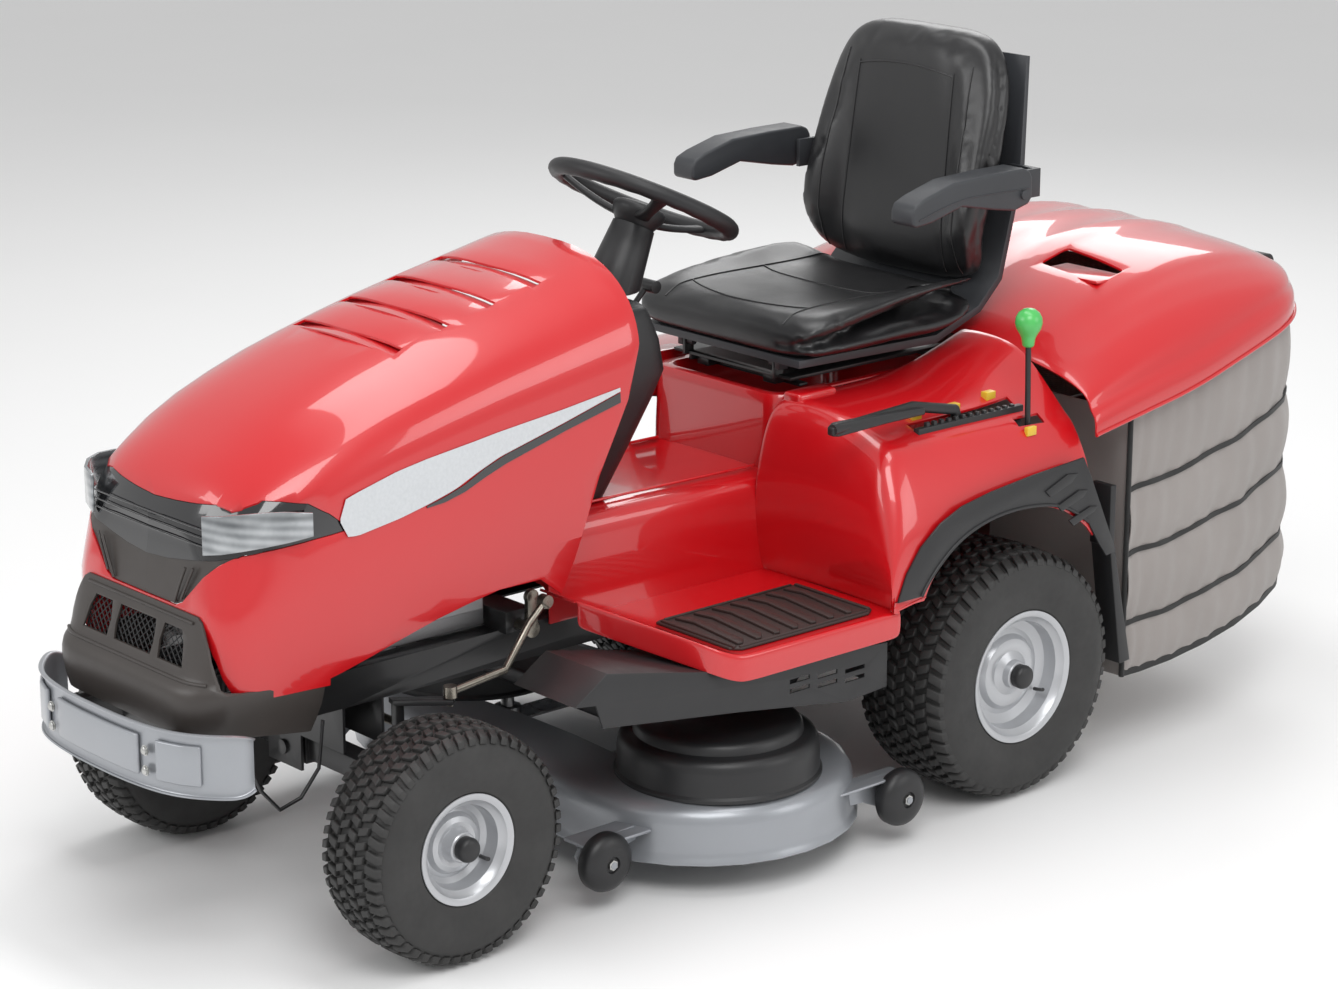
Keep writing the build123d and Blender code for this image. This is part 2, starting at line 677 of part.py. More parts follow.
def bag_cover():
    outer = skin([
        bag_section(496, 492, 618, 640, 742),
        bag_section(800, 480, 664, 704, 876),
        bag_section(1080, 436, 716, 756, 858),
        bag_section(BAG_REAR, 312, 736, 766, 806),
    ])
    inner = skin([
        bag_section(495, 488, 590, 636, 738),
        bag_section(800, 476, 630, 700, 872),
        bag_section(1078, 432, 680, 752, 854),
        bag_section(BAG_REAR - 5, 308, 700, 762, 802),
    ])
    # grip at the back
    return outer - inner + block(190, 290, 1150, 1200, 784, 808)


def bag_fabric():
    outer = skin([
        [(-462, 616, 150), (462, 616, 150), (470, 616, 634), (-470, 616, 634)],
        [(-462, 800, 160), (462, 800, 160), (466, 800, 662), (-466, 800, 662)],
        [(-420, 1080, 205), (420, 1080, 205), (424, 1080, 714), (-424, 1080, 714)],
        [(-296, 1180, 220), (296, 1180, 220), (300, 1180, 732), (-300, 1180, 732)],
    ])
    inner = skin([
        [(-456, 600, 156), (456, 600, 156), (464, 600, 660), (-464, 600, 660)],
        [(-456, 800, 166), (456, 800, 166), (460, 800, 690), (-460, 800, 690)],
        [(-414, 1078, 211), (414, 1078, 211), (418, 1078, 740), (-418, 1078, 740)],
        [(-290, 1174, 226), (290, 1174, 226), (294, 1174, 758), (-294, 1174, 758)],
    ])
    shell = outer - inner
    # front wall with the mouth the chute blows through
    front = prism_y([(-456, 156), (456, 156), (458, 630), (-458, 630)], 616, 622)
    front -= block(-135, 135, 600, 640, 335, 552)
    return shell + front


def bag_frame():
    part = pair(block(270, 286, 624, 1150, 606, 618))
    part += block(-286, 286, 624, 640, 606, 618)
    return part


# ---------------------------------------------------------------- one file for each piece
save("chassis_frame", chassis_frame())
save("front_bumper", bumper())
save("bumper_bolts", bumper_bolts())
save("frame_wire_loop", wire_loop())
save("side_covers", side_covers())
save("engine_block", engine_block())
save("engine_shroud", engine_shroud())
save("muffler", muffler())
save("transaxle", transaxle())
save("discharge_chute", discharge_chute())
save("fender_body", fender_body())
save("footrest_mats", footrest_mats())
save("wheel_arch_trims", arch_trims())
save("rear_posts", rear_posts())
save("dash_panel", dash_panel())
save("column_cover", column_cover())
save("steering_shaft", steering_shaft())
save("steering_wheel", steering_wheel())
save("choke_knob", choke_knob())
save("hood_shell", hood_shell())
save("light_band", light_band())
save("hood_grille_panel", grille_panel())
save("front_fairing", fairing())
save("front_axle_beam", axle_beam())
save("knuckle_left", knuckle(1))
save("knuckle_right", knuckle(-1))
save("tie_rod", tie_rod())
save("drag_link", drag_link())
save("pitman_arm", pitman_arm())
for side, name in ((1, "left"), (-1, "right")):
    save("front_tyre_" + name, tyre(FRONT_R, FRONT_W, FRONT_BEAD_R, 58, side * FRONT_X, FRONT_AXLE_Y))
    save("front_rim_" + name,
         rim(FRONT_R, FRONT_BEAD_R, 58, SPINDLE_R + RUN, side, side * FRONT_X, FRONT_AXLE_Y, 20))
    save("rear_tyre_" + name, tyre(REAR_R, REAR_W, REAR_BEAD_R, 88, side * REAR_X, REAR_AXLE_Y))
    save("rear_rim_" + name, rim(REAR_R, REAR_BEAD_R, 88, SHAFT_R + RUN, side, side * REAR_X, REAR_AXLE_Y, 21))
    save("half_shaft_" + name, half_shaft(side))
    save("armrest_" + name, armrest(side))
    save("blade_" + name, blade(side))
    save("scalp_wheel_front_" + name, scalp_wheel(side * 395, -522))
    save("scalp_wheel_rear_" + name, scalp_wheel(side * 500, 32))
save("deck_shell", deck_shell())
save("belt_covers", belt_covers())
save("seat_rails", seat_rails())
save("seat_slide_plate", seat_slide_plate())
save("seat_shell", seat_shell())
save("seat_cushion", seat_cushion())
save("seat_back", seat_back() - seat_shell() - seat_cushion())
save("height_lever", height_lever())
save("mulch_lever", mulch_lever())
save("drive_pedal", drive_pedal())
save("bag_cover", bag_cover())
save("bag_fabric", bag_fabric())
save("bag_frame", bag_frame())
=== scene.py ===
import json
import math

import bmesh
import bpy
from mathutils import Matrix, Vector

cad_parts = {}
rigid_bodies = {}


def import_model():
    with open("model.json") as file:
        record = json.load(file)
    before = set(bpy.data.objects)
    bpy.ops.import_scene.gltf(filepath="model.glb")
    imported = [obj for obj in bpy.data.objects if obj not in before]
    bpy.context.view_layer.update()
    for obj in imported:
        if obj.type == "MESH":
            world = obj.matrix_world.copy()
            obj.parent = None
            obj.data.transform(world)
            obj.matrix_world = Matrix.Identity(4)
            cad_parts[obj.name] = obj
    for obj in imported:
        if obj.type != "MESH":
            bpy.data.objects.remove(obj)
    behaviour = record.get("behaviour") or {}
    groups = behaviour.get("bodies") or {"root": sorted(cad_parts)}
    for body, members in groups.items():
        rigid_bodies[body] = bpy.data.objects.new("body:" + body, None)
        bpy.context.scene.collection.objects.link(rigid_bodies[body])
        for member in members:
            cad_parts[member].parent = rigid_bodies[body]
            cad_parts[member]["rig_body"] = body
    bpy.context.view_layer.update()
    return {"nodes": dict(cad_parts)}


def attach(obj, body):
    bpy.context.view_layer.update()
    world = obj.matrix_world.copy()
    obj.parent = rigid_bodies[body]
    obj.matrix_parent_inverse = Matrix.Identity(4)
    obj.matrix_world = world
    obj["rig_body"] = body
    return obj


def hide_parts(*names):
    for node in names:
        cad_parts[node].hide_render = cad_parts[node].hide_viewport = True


bl_info = {
    "name": "Riding mower maker",
    "version": (1, 0, 0),
    "blender": (4, 5, 0),
    "location": "View3D > Sidebar > Mower",
    "description": "Dresses the frame of a riding lawn mower with panels, wheels, seat and collector",
    "category": "Object",
}

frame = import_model()
MM = 0.001


# ------------------------------------------------------------------ shader helpers
class Value:
    """A shader socket that takes part in Python arithmetic."""

    def __init__(self, finish, socket):
        self.finish = finish
        self.socket = socket

    def _math(self, operation, *others):
        return self.finish.node("ShaderNodeMath", {"operation": operation}, *([self] + list(others)))

    def __add__(self, other):
        return self._math("ADD", other)

    __radd__ = __add__

    def __mul__(self, other):
        return self._math("MULTIPLY", other)

    __rmul__ = __mul__

    def sin(self):
        return self._math("SINE")

    def step(self, low, high):
        return self.finish.node("ShaderNodeMapRange", {"interpolation_type": "SMOOTHSTEP"}, self, low, high,
                                0.0, 1.0)


class Finish:
    """A procedural material, built one node at a time."""

    def __init__(self, name, **constants):
        self.material = bpy.data.materials.new(name)
        self.material.use_nodes = True
        self.tree = self.material.node_tree
        self.shader = self.tree.nodes["Principled BSDF"]
        for key, value in constants.items():
            self.shader.inputs[key.replace("_", " ")].default_value = value

    def node(self, kind, settings=None, *values, out=0, **named):
        made = self.tree.nodes.new(kind)
        for key, value in (settings or {}).items():
            setattr(made, key, value)
        pairs = list(enumerate(values)) + [(key.replace("_", " "), value) for key, value in named.items()]
        for key, value in pairs:
            self.feed(made.inputs[key], value)
        return Value(self, made.outputs[out])

    def feed(self, socket, value):
        if isinstance(value, Value):
            self.tree.links.new(value.socket, socket)
        else:
            socket.default_value = value

    def place(self):
        return self.node("ShaderNodeTexCoord", None, out="Object")

    def axes(self):
        split = self.tree.nodes.new("ShaderNodeSeparateXYZ")
        self.feed(split.inputs[0], self.place())
        return [Value(self, split.outputs[k]) for k in range(3)]

    def noise(self, scale, detail=3.0, rough=0.5, where=None):
        return self.node("ShaderNodeTexNoise", None, Vector=where or self.place(), Scale=scale, Detail=detail,
                         Roughness=rough)

    def mix(self, amount, first, second):
        made = self.tree.nodes.new("ShaderNodeMix")
        made.data_type = "RGBA"
        self.feed(made.inputs[0], amount)
        self.feed(made.inputs[6], first)
        self.feed(made.inputs[7], second)
        return Value(self, made.outputs[2])

    def bump(self, height, strength=0.3, distance=0.001):
        lifted = self.node("ShaderNodeBump", None, Strength=strength, Distance=distance, Height=height)
        self.feed(self.shader.inputs["Normal"], lifted)

    def put(self, name, value):
        self.feed(self.shader.inputs[name], value)
        return self


def rgb(r, g, b):
    return (r, g, b, 1.0)


def tinted(finish, low, high, scale=6.0, detail=4.0):
    finish.put("Base Color", finish.mix(finish.noise(scale, detail), low, high))


def red_gloss():
    look = bpy.context.scene.mower_colours
    f = Finish("red gloss", Coat_Weight=1.0, Coat_Roughness=0.04, IOR=1.5)
    r, g, b = look.panel_red
    tinted(f, rgb(r * 0.94, g, b), rgb(r, g * 1.1, b * 1.1), 3.0)
    f.put("Roughness", f.noise(18.0) * 0.10 + 0.26)
    f.bump(f.noise(420.0, 2.0), 0.04, 0.0004)
    return f.material


def moulded(name, colour, rough=0.45, grain=900.0, lift=0.22):
    f = Finish(name)
    low = rgb(*colour)
    tinted(f, low, rgb(*[c * 1.35 for c in colour]), 11.0)
    f.put("Roughness", f.noise(40.0) * 0.14 + (rough - 0.07))
    f.bump(f.noise(grain, 4.0, 0.6), lift, 0.0005)
    return f.material


def painted(name, colour, rough=0.34, metal=0.0, coat=0.3, flake=1500.0):
    f = Finish(name, Coat_Weight=coat, Coat_Roughness=0.12)
    speck = f.noise(flake, 2.0)
    worn = f.noise(9.0, 5.0)
    dark = rgb(*[c * 0.82 for c in colour])
    bright = rgb(*[min(1.0, c * 1.12) for c in colour])
    f.put("Base Color", f.mix(speck * 0.5 + worn * 0.5, dark, bright))
    f.put("Metallic", metal)
    f.put("Roughness", worn * 0.16 + (rough - 0.08))
    f.bump(f.noise(300.0, 3.0), 0.06, 0.0004)
    return f.material


def turned_steel(name="turned steel", colour=(0.5, 0.5, 0.5)):
    f = Finish(name)
    _, y, z = f.axes()
    rings = ((y + z) * 2600.0).sin() * 0.5 + 0.5
    f.put("Base Color", f.mix(f.noise(30.0, 5.0), rgb(*[c * 0.7 for c in colour]), rgb(*colour)))
    f.put("Metallic", 1.0)
    f.put("Roughness", f.noise(60.0) * 0.2 + rings * 0.05 + 0.18)
    f.bump(rings, 0.05, 0.0002)
    return f.material


def tyre_rubber():
    f = Finish("tyre rubber")
    dust = f.noise(14.0, 6.0, 0.6)
    f.put("Base Color", f.mix(dust, rgb(0.012, 0.012, 0.012), rgb(0.042, 0.041, 0.04)))
    f.put("Roughness", f.noise(90.0) * 0.18 + 0.50)
    f.bump(f.noise(1100.0, 5.0, 0.65), 0.25, 0.0006)
    return f.material


def vinyl():
    f = Finish("seat vinyl", Coat_Weight=0.25, Coat_Roughness=0.28)
    f.put("Base Color", f.mix(f.noise(5.0, 5.0), rgb(0.006, 0.006, 0.007), rgb(0.016, 0.016, 0.017)))
    f.put("Roughness", f.noise(26.0, 4.0) * 0.14 + 0.27)
    cells = f.node("ShaderNodeTexVoronoi", {"feature": "DISTANCE_TO_EDGE"}, Vector=f.place(), Scale=520.0)
    f.bump(cells.step(0.0, 0.12) * 0.7 + f.noise(60.0, 4.0) * 0.6, 0.14, 0.0006)
    return f.material


def mesh_cloth():
    f = Finish("collector cloth", Sheen_Weight=0.25)
    uv = f.node("ShaderNodeUVMap", {"uv_map": "cloth"})
    split = f.tree.nodes.new("ShaderNodeSeparateXYZ")
    f.feed(split.inputs[0], uv)
    u, v = Value(f, split.outputs[0]), Value(f, split.outputs[1])
    weave = (u * 1500.0).sin() * (v * 1500.0).sin()
    hole = weave.step(0.15, 0.75)
    broad = f.noise(4.0, 5.0, 0.6)
    base = f.mix(broad, rgb(0.250, 0.225, 0.212), rgb(0.360, 0.330, 0.315))
    f.put("Base Color", f.mix(hole * 0.45, base, rgb(0.12, 0.108, 0.10)))
    f.put("Roughness", hole * 0.1 + 0.72)
    f.bump(weave * 0.5 + f.noise(35.0, 4.0) * 0.9, 0.35, 0.0012)
    return f.material


def webbing():
    f = Finish("black webbing", Sheen_Weight=0.15)
    _, y, z = f.axes()
    ribs = ((z + y) * 1900.0).sin()
    f.put("Base Color", f.mix(f.noise(70.0), rgb(0.006, 0.006, 0.006), rgb(0.02, 0.02, 0.02)))
    f.put("Roughness", f.noise(40.0) * 0.1 + 0.72)
    f.bump(ribs, 0.2, 0.0006)
    return f.material


def clear_lens():
    f = Finish("lamp lens", IOR=1.45, Coat_Weight=1.0, Coat_Roughness=0.02)
    _, y, z = f.axes()
    # painted highlight: bright and dark bands across the lens flutes, laid into the lens colour
    flute_glints = (z * 420.0 + y * 60.0).sin()
    f.put("Base Color", f.mix(f.noise(25.0, 3.0) * 0.6 + flute_glints * 0.12, rgb(0.10, 0.11, 0.12),
                              rgb(0.75, 0.78, 0.80)))
    f.put("Metallic", 0.6)
    f.put("Roughness", f.noise(20.0) * 0.10 + 0.08)
    return f.material


def glossy(name, low, high, grain, rough, coat, coat_rough):
    """A smooth finish of two close colours; grain is a noise, rough is (scale, swing, least)."""
    f = Finish(name, Coat_Weight=coat, Coat_Roughness=coat_rough)
    f.put("Base Color", f.mix(f.noise(*grain), rgb(*low), rgb(*high)))
    scale, swing, least = rough
    f.put("Roughness", f.noise(scale) * swing + least)
    return f.material


def floor_finish():
    f = Finish("studio floor")
    f.put("Base Color", f.mix(f.noise(1.5), rgb(0.86, 0.86, 0.86), rgb(0.88, 0.88, 0.88)))
    f.put("Roughness", 0.7)
    return f.material


MAKERS = {
    "red": red_gloss,
    "black_plastic": lambda: moulded("black plastic", (0.014, 0.014, 0.015), 0.42),
    "fairing": lambda: moulded("fairing grey", (0.040, 0.034, 0.031), 0.40, 700.0, 0.16),
    "armrest": lambda: moulded("armrest plastic", (0.030, 0.032, 0.036), 0.46, 800.0, 0.2),
    "soft_grip": lambda: moulded("soft grip", (0.010, 0.010, 0.011), 0.48, 1300.0, 0.3),
    "mat": lambda: moulded("mat rubber", (0.030, 0.018, 0.016), 0.55, 600.0, 0.3),
    "chassis": lambda: painted("chassis black", (0.018, 0.018, 0.019), 0.36, 0.0, 0.2),
    "bumper": lambda: painted("bumper silver", (0.36, 0.375, 0.40), 0.36, 0.55, 0.4),
    "wheel": lambda: painted("wheel silver", (0.50, 0.51, 0.53), 0.32, 0.5, 0.5),
    "deck": lambda: painted("deck silver", (0.33, 0.345, 0.37), 0.36, 0.45, 0.4),
    "cast": lambda: painted("cast metal", (0.20, 0.20, 0.21), 0.6, 0.6, 0.0, 500.0),
    "alloy": lambda: painted("alloy casting", (0.45, 0.45, 0.46), 0.5, 0.8, 0.0, 400.0),
    "steel": turned_steel,
    "zinc": lambda: turned_steel("zinc bolt", (0.62, 0.62, 0.6)),
    "link": lambda: turned_steel("plated link", (0.36, 0.33, 0.28)),
    "tyre": tyre_rubber,
    "vinyl": vinyl,
    "cloth": mesh_cloth,
    "webbing": webbing,
    "lens": clear_lens,
    "glow": lambda: glossy("lamp strip", (0.72, 0.74, 0.76), (0.92, 0.93, 0.94), (60.0,), (50.0, 0.1, 0.12),
                           1.0, 0.03),
    "band": lambda: glossy("band gloss", (0.004, 0.004, 0.005), (0.012, 0.012, 0.014), (7.0,),
                           (15.0, 0.08, 0.08), 1.0, 0.02),
    "knob": lambda: glossy("green knob", (0.05, 0.42, 0.08), (0.09, 0.52, 0.12), (30.0,), (60.0, 0.1, 0.3),
                           0.5, 0.2),
    "stripe": lambda: glossy("stripe film", (0.50, 0.52, 0.54), (0.62, 0.64, 0.66), (200.0, 2.0),
                             (30.0, 0.1, 0.28), 1.0, 0.05),
    "yellow": lambda: glossy("yellow mark", (0.72, 0.46, 0.02), (0.82, 0.56, 0.04), (60.0,),
                             (60.0, 0.1, 0.4), 0.4, 0.2),
    "floor": floor_finish,
}
MADE = {}


def finish(name):
    if name not in MADE:
        MADE[name] = MAKERS[name]()
    return MADE[name]


# ------------------------------------------------------------------ mesh helpers
def clear_selection():
    if bpy.context.object and bpy.context.object.mode != "OBJECT":
        bpy.ops.object.mode_set(mode="OBJECT")
    bpy.ops.object.select_all(action="DESELECT")


def active(obj):
    clear_selection()
    obj.select_set(True)
    bpy.context.view_layer.objects.active = obj
    return obj


def settle(obj):
    active(obj)
    bpy.ops.object.transform_apply(location=True, rotation=True, scale=True)
    return obj


def modify(obj, kind, **settings):
    active(obj)
    made = obj.modifiers.new(kind.lower(), kind)
    for key, value in settings.items():
        setattr(made, key, value)
    bpy.ops.object.modifier_apply(modifier=made.name)
    return obj


def outward(obj, merge=0.00002):
    active(obj)
    bpy.ops.object.mode_set(mode="EDIT")
    bpy.ops.mesh.select_all(action="SELECT")
    bpy.ops.mesh.remove_doubles(threshold=merge)
    bpy.ops.mesh.normals_make_consistent(inside=False)
    bpy.ops.object.mode_set(mode="OBJECT")
    return obj


def smooth(obj, angle=40):
    active(obj)
    bpy.ops.object.shade_smooth_by_angle(angle=math.radians(angle))
    return obj


def dress(obj, look, body, nodes=(), angle=40):
    obj.data.materials.clear()
    for name in ([look] if isinstance(look, str) else look):
        obj.data.materials.append(finish(name))
    smooth(obj, angle)
    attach(obj, body)
    if nodes:
        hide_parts(*nodes)
    return obj


def sheet(name, rows):
    """A grid whose points follow rows of positions in millimetres."""
    clear_selection()
    nx, ny = len(rows[0]), len(rows)
    bpy.ops.mesh.primitive_grid_add(x_subdivisions=nx - 1, y_subdivisions=ny - 1, size=1)
    obj = bpy.context.object
    obj.name = name
    flat = [p for row in rows for p in row]
    for vertex, p in zip(obj.data.vertices, flat):
        vertex.co = (p[0] * MM, p[1] * MM, p[2] * MM)
    return obj


def block(name, x0, x1, y0, y1, z0, z1, round_by=2.0, segments=3):
    clear_selection()
    bpy.ops.mesh.primitive_cube_add(size=1, location=((x0 + x1) / 2 * MM, (y0 + y1) / 2 * MM,
                                                      (z0 + z1) / 2 * MM))
    obj = bpy.context.object
    obj.name = name
    obj.scale = ((x1 - x0) * MM, (y1 - y0) * MM, (z1 - z0) * MM)
    settle(obj)
    if round_by:
        modify(obj, "BEVEL", width=round_by * MM, segments=segments, limit_method="ANGLE")
    return obj


def prism(name, points, axis, low, high, round_by=0.0, segments=2):
    """A flat outline pushed along an axis, both in millimetres."""
    clear_selection()
    bpy.ops.mesh.primitive_circle_add(vertices=len(points), radius=1, fill_type="NGON")
    obj = bpy.context.object
    obj.name = name
    for vertex, (a, b) in zip(obj.data.vertices, points):
        place = {"X": (low, a, b), "Y": (a, low, b), "Z": (a, b, low)}[axis]
        vertex.co = [c * MM for c in place]
    push = {"X": (1, 0, 0), "Y": (0, 1, 0), "Z": (0, 0, 1)}[axis]
    bpy.ops.object.mode_set(mode="EDIT")
    bpy.ops.mesh.select_all(action="SELECT")
    bpy.ops.mesh.extrude_region_move(TRANSFORM_OT_translate={"value": [c * (high - low) * MM for c in push]})
    bpy.ops.mesh.select_all(action="SELECT")
    bpy.ops.mesh.normals_make_consistent(inside=False)
    bpy.ops.object.mode_set(mode="OBJECT")
    if round_by:
        modify(obj, "BEVEL", width=round_by * MM, segments=segments, limit_method="ANGLE")
    return obj


def turned(name, profile, centre, axis="X", steps=64, flip=1):
    """A profile of (along, radius) spun about an axis through centre."""
    rows = []
    for k in range(steps + 1):
        a = 2 * math.pi * k / steps
        row = []
        for along, radius in profile:
            s, c = radius * math.sin(a), radius * math.cos(a)
            offset = {"X": (along * flip, s, c), "Y": (c, along * flip, s), "Z": (s, c, along * flip)}[axis]
            row.append([centre[i] + offset[i] for i in range(3)])
        rows.append(row)
    obj = sheet(name, rows)
    outward(obj, 0.00001)
    return obj


def tube(name, points, radius, order=3):
    clear_selection()
    curve = bpy.data.curves.new(name, "CURVE")
    curve.dimensions = "3D"
    curve.bevel_depth = radius * MM
    curve.bevel_resolution = 4
    curve.use_fill_caps = True
    spline = curve.splines.new("NURBS")
    spline.points.add(len(points) - 1)
    for point, p in zip(spline.points, points):
        point.co = (p[0] * MM, p[1] * MM, p[2] * MM, 1)
    spline.order_u = order
    spline.use_endpoint_u = True
    obj = bpy.data.objects.new(name, curve)
    bpy.context.scene.collection.objects.link(obj)
    active(obj)
    bpy.ops.object.convert(target="MESH")
    return bpy.context.object


def cut(obj, cutter, operation="DIFFERENCE"):
    """Boolean by the exact solver, then by others if nothing is left; the shape stays uncut if all fail."""
    before = obj.data.copy()
    modify(obj, "BOOLEAN", operation=operation, object=cutter, solver="EXACT")
    for solver, crossing in (("EXACT", True), ("MANIFOLD", False), ("FAST", False)):
        if len(obj.data.vertices):
            break
        obj.data = before.copy()
        extra = {"use_self": True} if crossing else {}
        modify(obj, "BOOLEAN", operation=operation, object=cutter, solver=solver, **extra)
    if not len(obj.data.vertices):
        obj.data = before
    bpy.data.objects.remove(cutter)
    return obj


def copied(obj, name):
    clear_selection()
    twin = obj.copy()
    twin.data = obj.data.copy()
    twin.name = name
    bpy.context.scene.collection.objects.link(twin)
    return twin


def mirrored(obj, name):
    twin = copied(obj, name)
    for vertex in twin.data.vertices:
        vertex.co.x = -vertex.co.x
    outward(twin)
    return twin


def join(name, parts):
    clear_selection()
    for part in parts:
        part.select_set(True)
    bpy.context.view_layer.objects.active = parts[0]
    bpy.ops.object.join()
    parts[0].name = name
    return parts[0]


def wall(obj, thickness, offset=-1.0):
    return modify(obj, "SOLIDIFY", thickness=thickness * MM, offset=offset, use_even_offset=True)


def from_frame(node, look, width):
    """The CAD node's own shape with its edges broken, in a finished material."""
    source = frame["nodes"][node]
    body = source["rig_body"]
    obj = bpy.data.objects.new(node + "_finished", source.data.copy())
    bpy.context.scene.collection.objects.link(obj)
    obj.data.materials.clear()
    active(obj)
    bpy.ops.object.mode_set(mode="EDIT")
    bpy.ops.mesh.select_all(action="SELECT")
    bpy.ops.mesh.remove_doubles(threshold=0.00001)
    bpy.ops.mesh.dissolve_limited(angle_limit=math.radians(3))
    bpy.ops.object.mode_set(mode="OBJECT")
    if width:
        modify(obj, "BEVEL", width=width * MM, segments=2, limit_method="ANGLE", angle_limit=math.radians(35),
               use_clamp_overlap=True)
    return dress(obj, look, body, [node])


def lerp(table, t):
    """Linear reading of (t, value, value, ...) rows."""
    if t <= table[0][0]:
        return table[0][1:]
    for a, b in zip(table, table[1:]):
        if t <= b[0]:
            k = (t - a[0]) / (b[0] - a[0])
            return tuple(x + (y - x) * k for x, y in zip(a[1:], b[1:]))
    return table[-1][1:]


SIDES = ((1, "left"), (-1, "right"))


def both(side, near, far):
    """Two distances from the centre plane on one side, lowest X first."""
    return sorted((side * near, side * far))


def held(share):
    """A share kept between 0 and 1."""
    return max(0.0, min(1.0, share))


def squared(turn, power):
    """A sine or cosine pushed outwards, so that a ring grows corners."""
    return abs(turn) ** power * (1 if turn >= 0 else -1)


def mirror_line(points):
    """A half outline that ends on the centre plane, carried on to the other side."""
    return points + [(-p[0],) + tuple(p[1:]) for p in reversed(points[:-1])]


def sideways(path, k):
    """The level direction square to a plan path at one of its points."""
    before, after = path[max(0, k - 1)], path[min(len(path) - 1, k + 1)]
    dx, dy = after[0] - before[0], after[1] - before[1]
    size = math.hypot(dx, dy)
    return dy / size, -dx / size


# ------------------------------------------------------------------ bonnet
CROWN = [(-1092, 640), (-1086, 690), (-1066, 735), (-1040, 764), (-980, 806), (-900, 848), (-800, 885),
         (-700, 915), (-600, 941), (-500, 963), (-400, 984), (-311, 1003)]
HALF = [(-1092, 150), (-1080, 186), (-1060, 208), (-1030, 222), (-980, 233), (-900, 243), (-700, 251),
        (-500, 254), (-311, 254)]


def hood_row(y, inset=0.0):
    """Half the bonnet's outline at one station, lower edge to crown, in millimetres."""
    crown = lerp(CROWN, y)[0] - inset
    half = lerp(HALF, y)[0] - inset
    low = 430.0
    shoulder = low + (crown - low) * 0.72
    points = []
    for k in range(9):
        t = k / 8.0
        bulge = math.sin(math.pi * t) * 5.0
        points.append((half - 6.0 * (1 - t) + bulge - 6.0 * t * t, low + (shoulder - low) * t))
    for k in range(1, 15):
        a = math.pi / 2 * k / 14.0
        points.append(((half - 6.0) * math.cos(a) ** 0.78,
                       shoulder + (crown - shoulder) * math.sin(a) ** 0.92))
    return points


def hood_surface(name, inset=0.0):
    stations = [-1092 + inset, -1088 + inset, -1078, -1062, -1040, -1010, -970, -920, -860, -800, -730, -660,
                -590,
                -520, -450, -390, -340, -312]
    rows = []
    for y in stations:
        row = []
        for px, py, pz in mirror_line([(x, y, z) for x, z in hood_row(y, inset)]):
            k = held((660 - pz) / 110.0) * held((-980 - py) / 80.0)
            row.append((px * (1 + 0.04 * k), py - 15 * k, pz))
        rows.append(row)
    # the nose closes down its middle
    first = rows[0]
    closing = []
    for share in (0.0, 0.45, 0.8):
        closing.append([(x * share, y - 2.0 * (1 - share), z) for x, y, z in first])
    rows = closing + rows
    return face_up(sheet(name, rows))


def ribbon(name, path, low, high, inner, outer):
    """A closed curved bar that follows a plan path; low and high are heights at each point."""
    rows = []
    for k, (x, y) in enumerate(path):
        nx, ny = sideways(path, k)
        ring = []
        for shift, z in ((inner, low[k]), (outer, low[k]), (outer, high[k]), (inner, high[k]),
                         (inner, low[k])):
            ring.append((x + nx * shift, y + ny * shift, z))
        rows.append(ring)
    return close_ends(sheet(name, rows), 0.00001)


def nose_path():
    return mirror_line([(247, -895), (245, -925), (240, -960), (232, -1000), (222, -1035), (206, -1064),
                        (184, -1082), (150, -1092), (105, -1094), (55, -1094), (0, -1094)])


BAND_TOP = [675, 699, 720, 727, 730, 729, 725, 720, 715, 711, 708]
BAND_LOW = [671, 668, 665, 661, 658, 654, 648, 641, 633, 625, 621]


def both_ways(values):
    return values + list(reversed(values[:-1]))


def nose_cutter(name, grow=0.0):
    return ribbon(name, nose_path(), [z - grow for z in both_ways(BAND_LOW)],
                  [z + grow for z in both_ways(BAND_TOP)], -30, 30)


# height of the joint between bonnet and fairing, read across the nose
JOINT = [(0, 557), (150, 556), (160, 550), (170, 536), (182, 512), (196, 474), (204, 455), (212, 446),
         (232, 440),
         (260, 436)]


def joint_block(name, rise, top):
    """Everything below the joint (top False) or above it (top True), as a cutter."""
    line = [(-x, z + rise) for x, z in reversed(JOINT)] + [(x, z + rise) for x, z in JOINT[1:]]
    far = 700 if top else 250
    outline = line + [(300, JOINT[-1][1] + rise), (300, far), (-300, far), (-300, JOINT[-1][1] + rise)]
    return prism(name, outline, "Y", -1300, -925)


PANEL = [(-86, 560), (86, 560), (104, 568), (124, 588), (150, 614), (176, 637), (206, 658), (150, 652),
         (-150, 652),
         (-206, 658), (-176, 637), (-150, 614), (-124, 588), (-104, 568)]


LOUVRES = [-700 + 92 * k for k in range(4)]


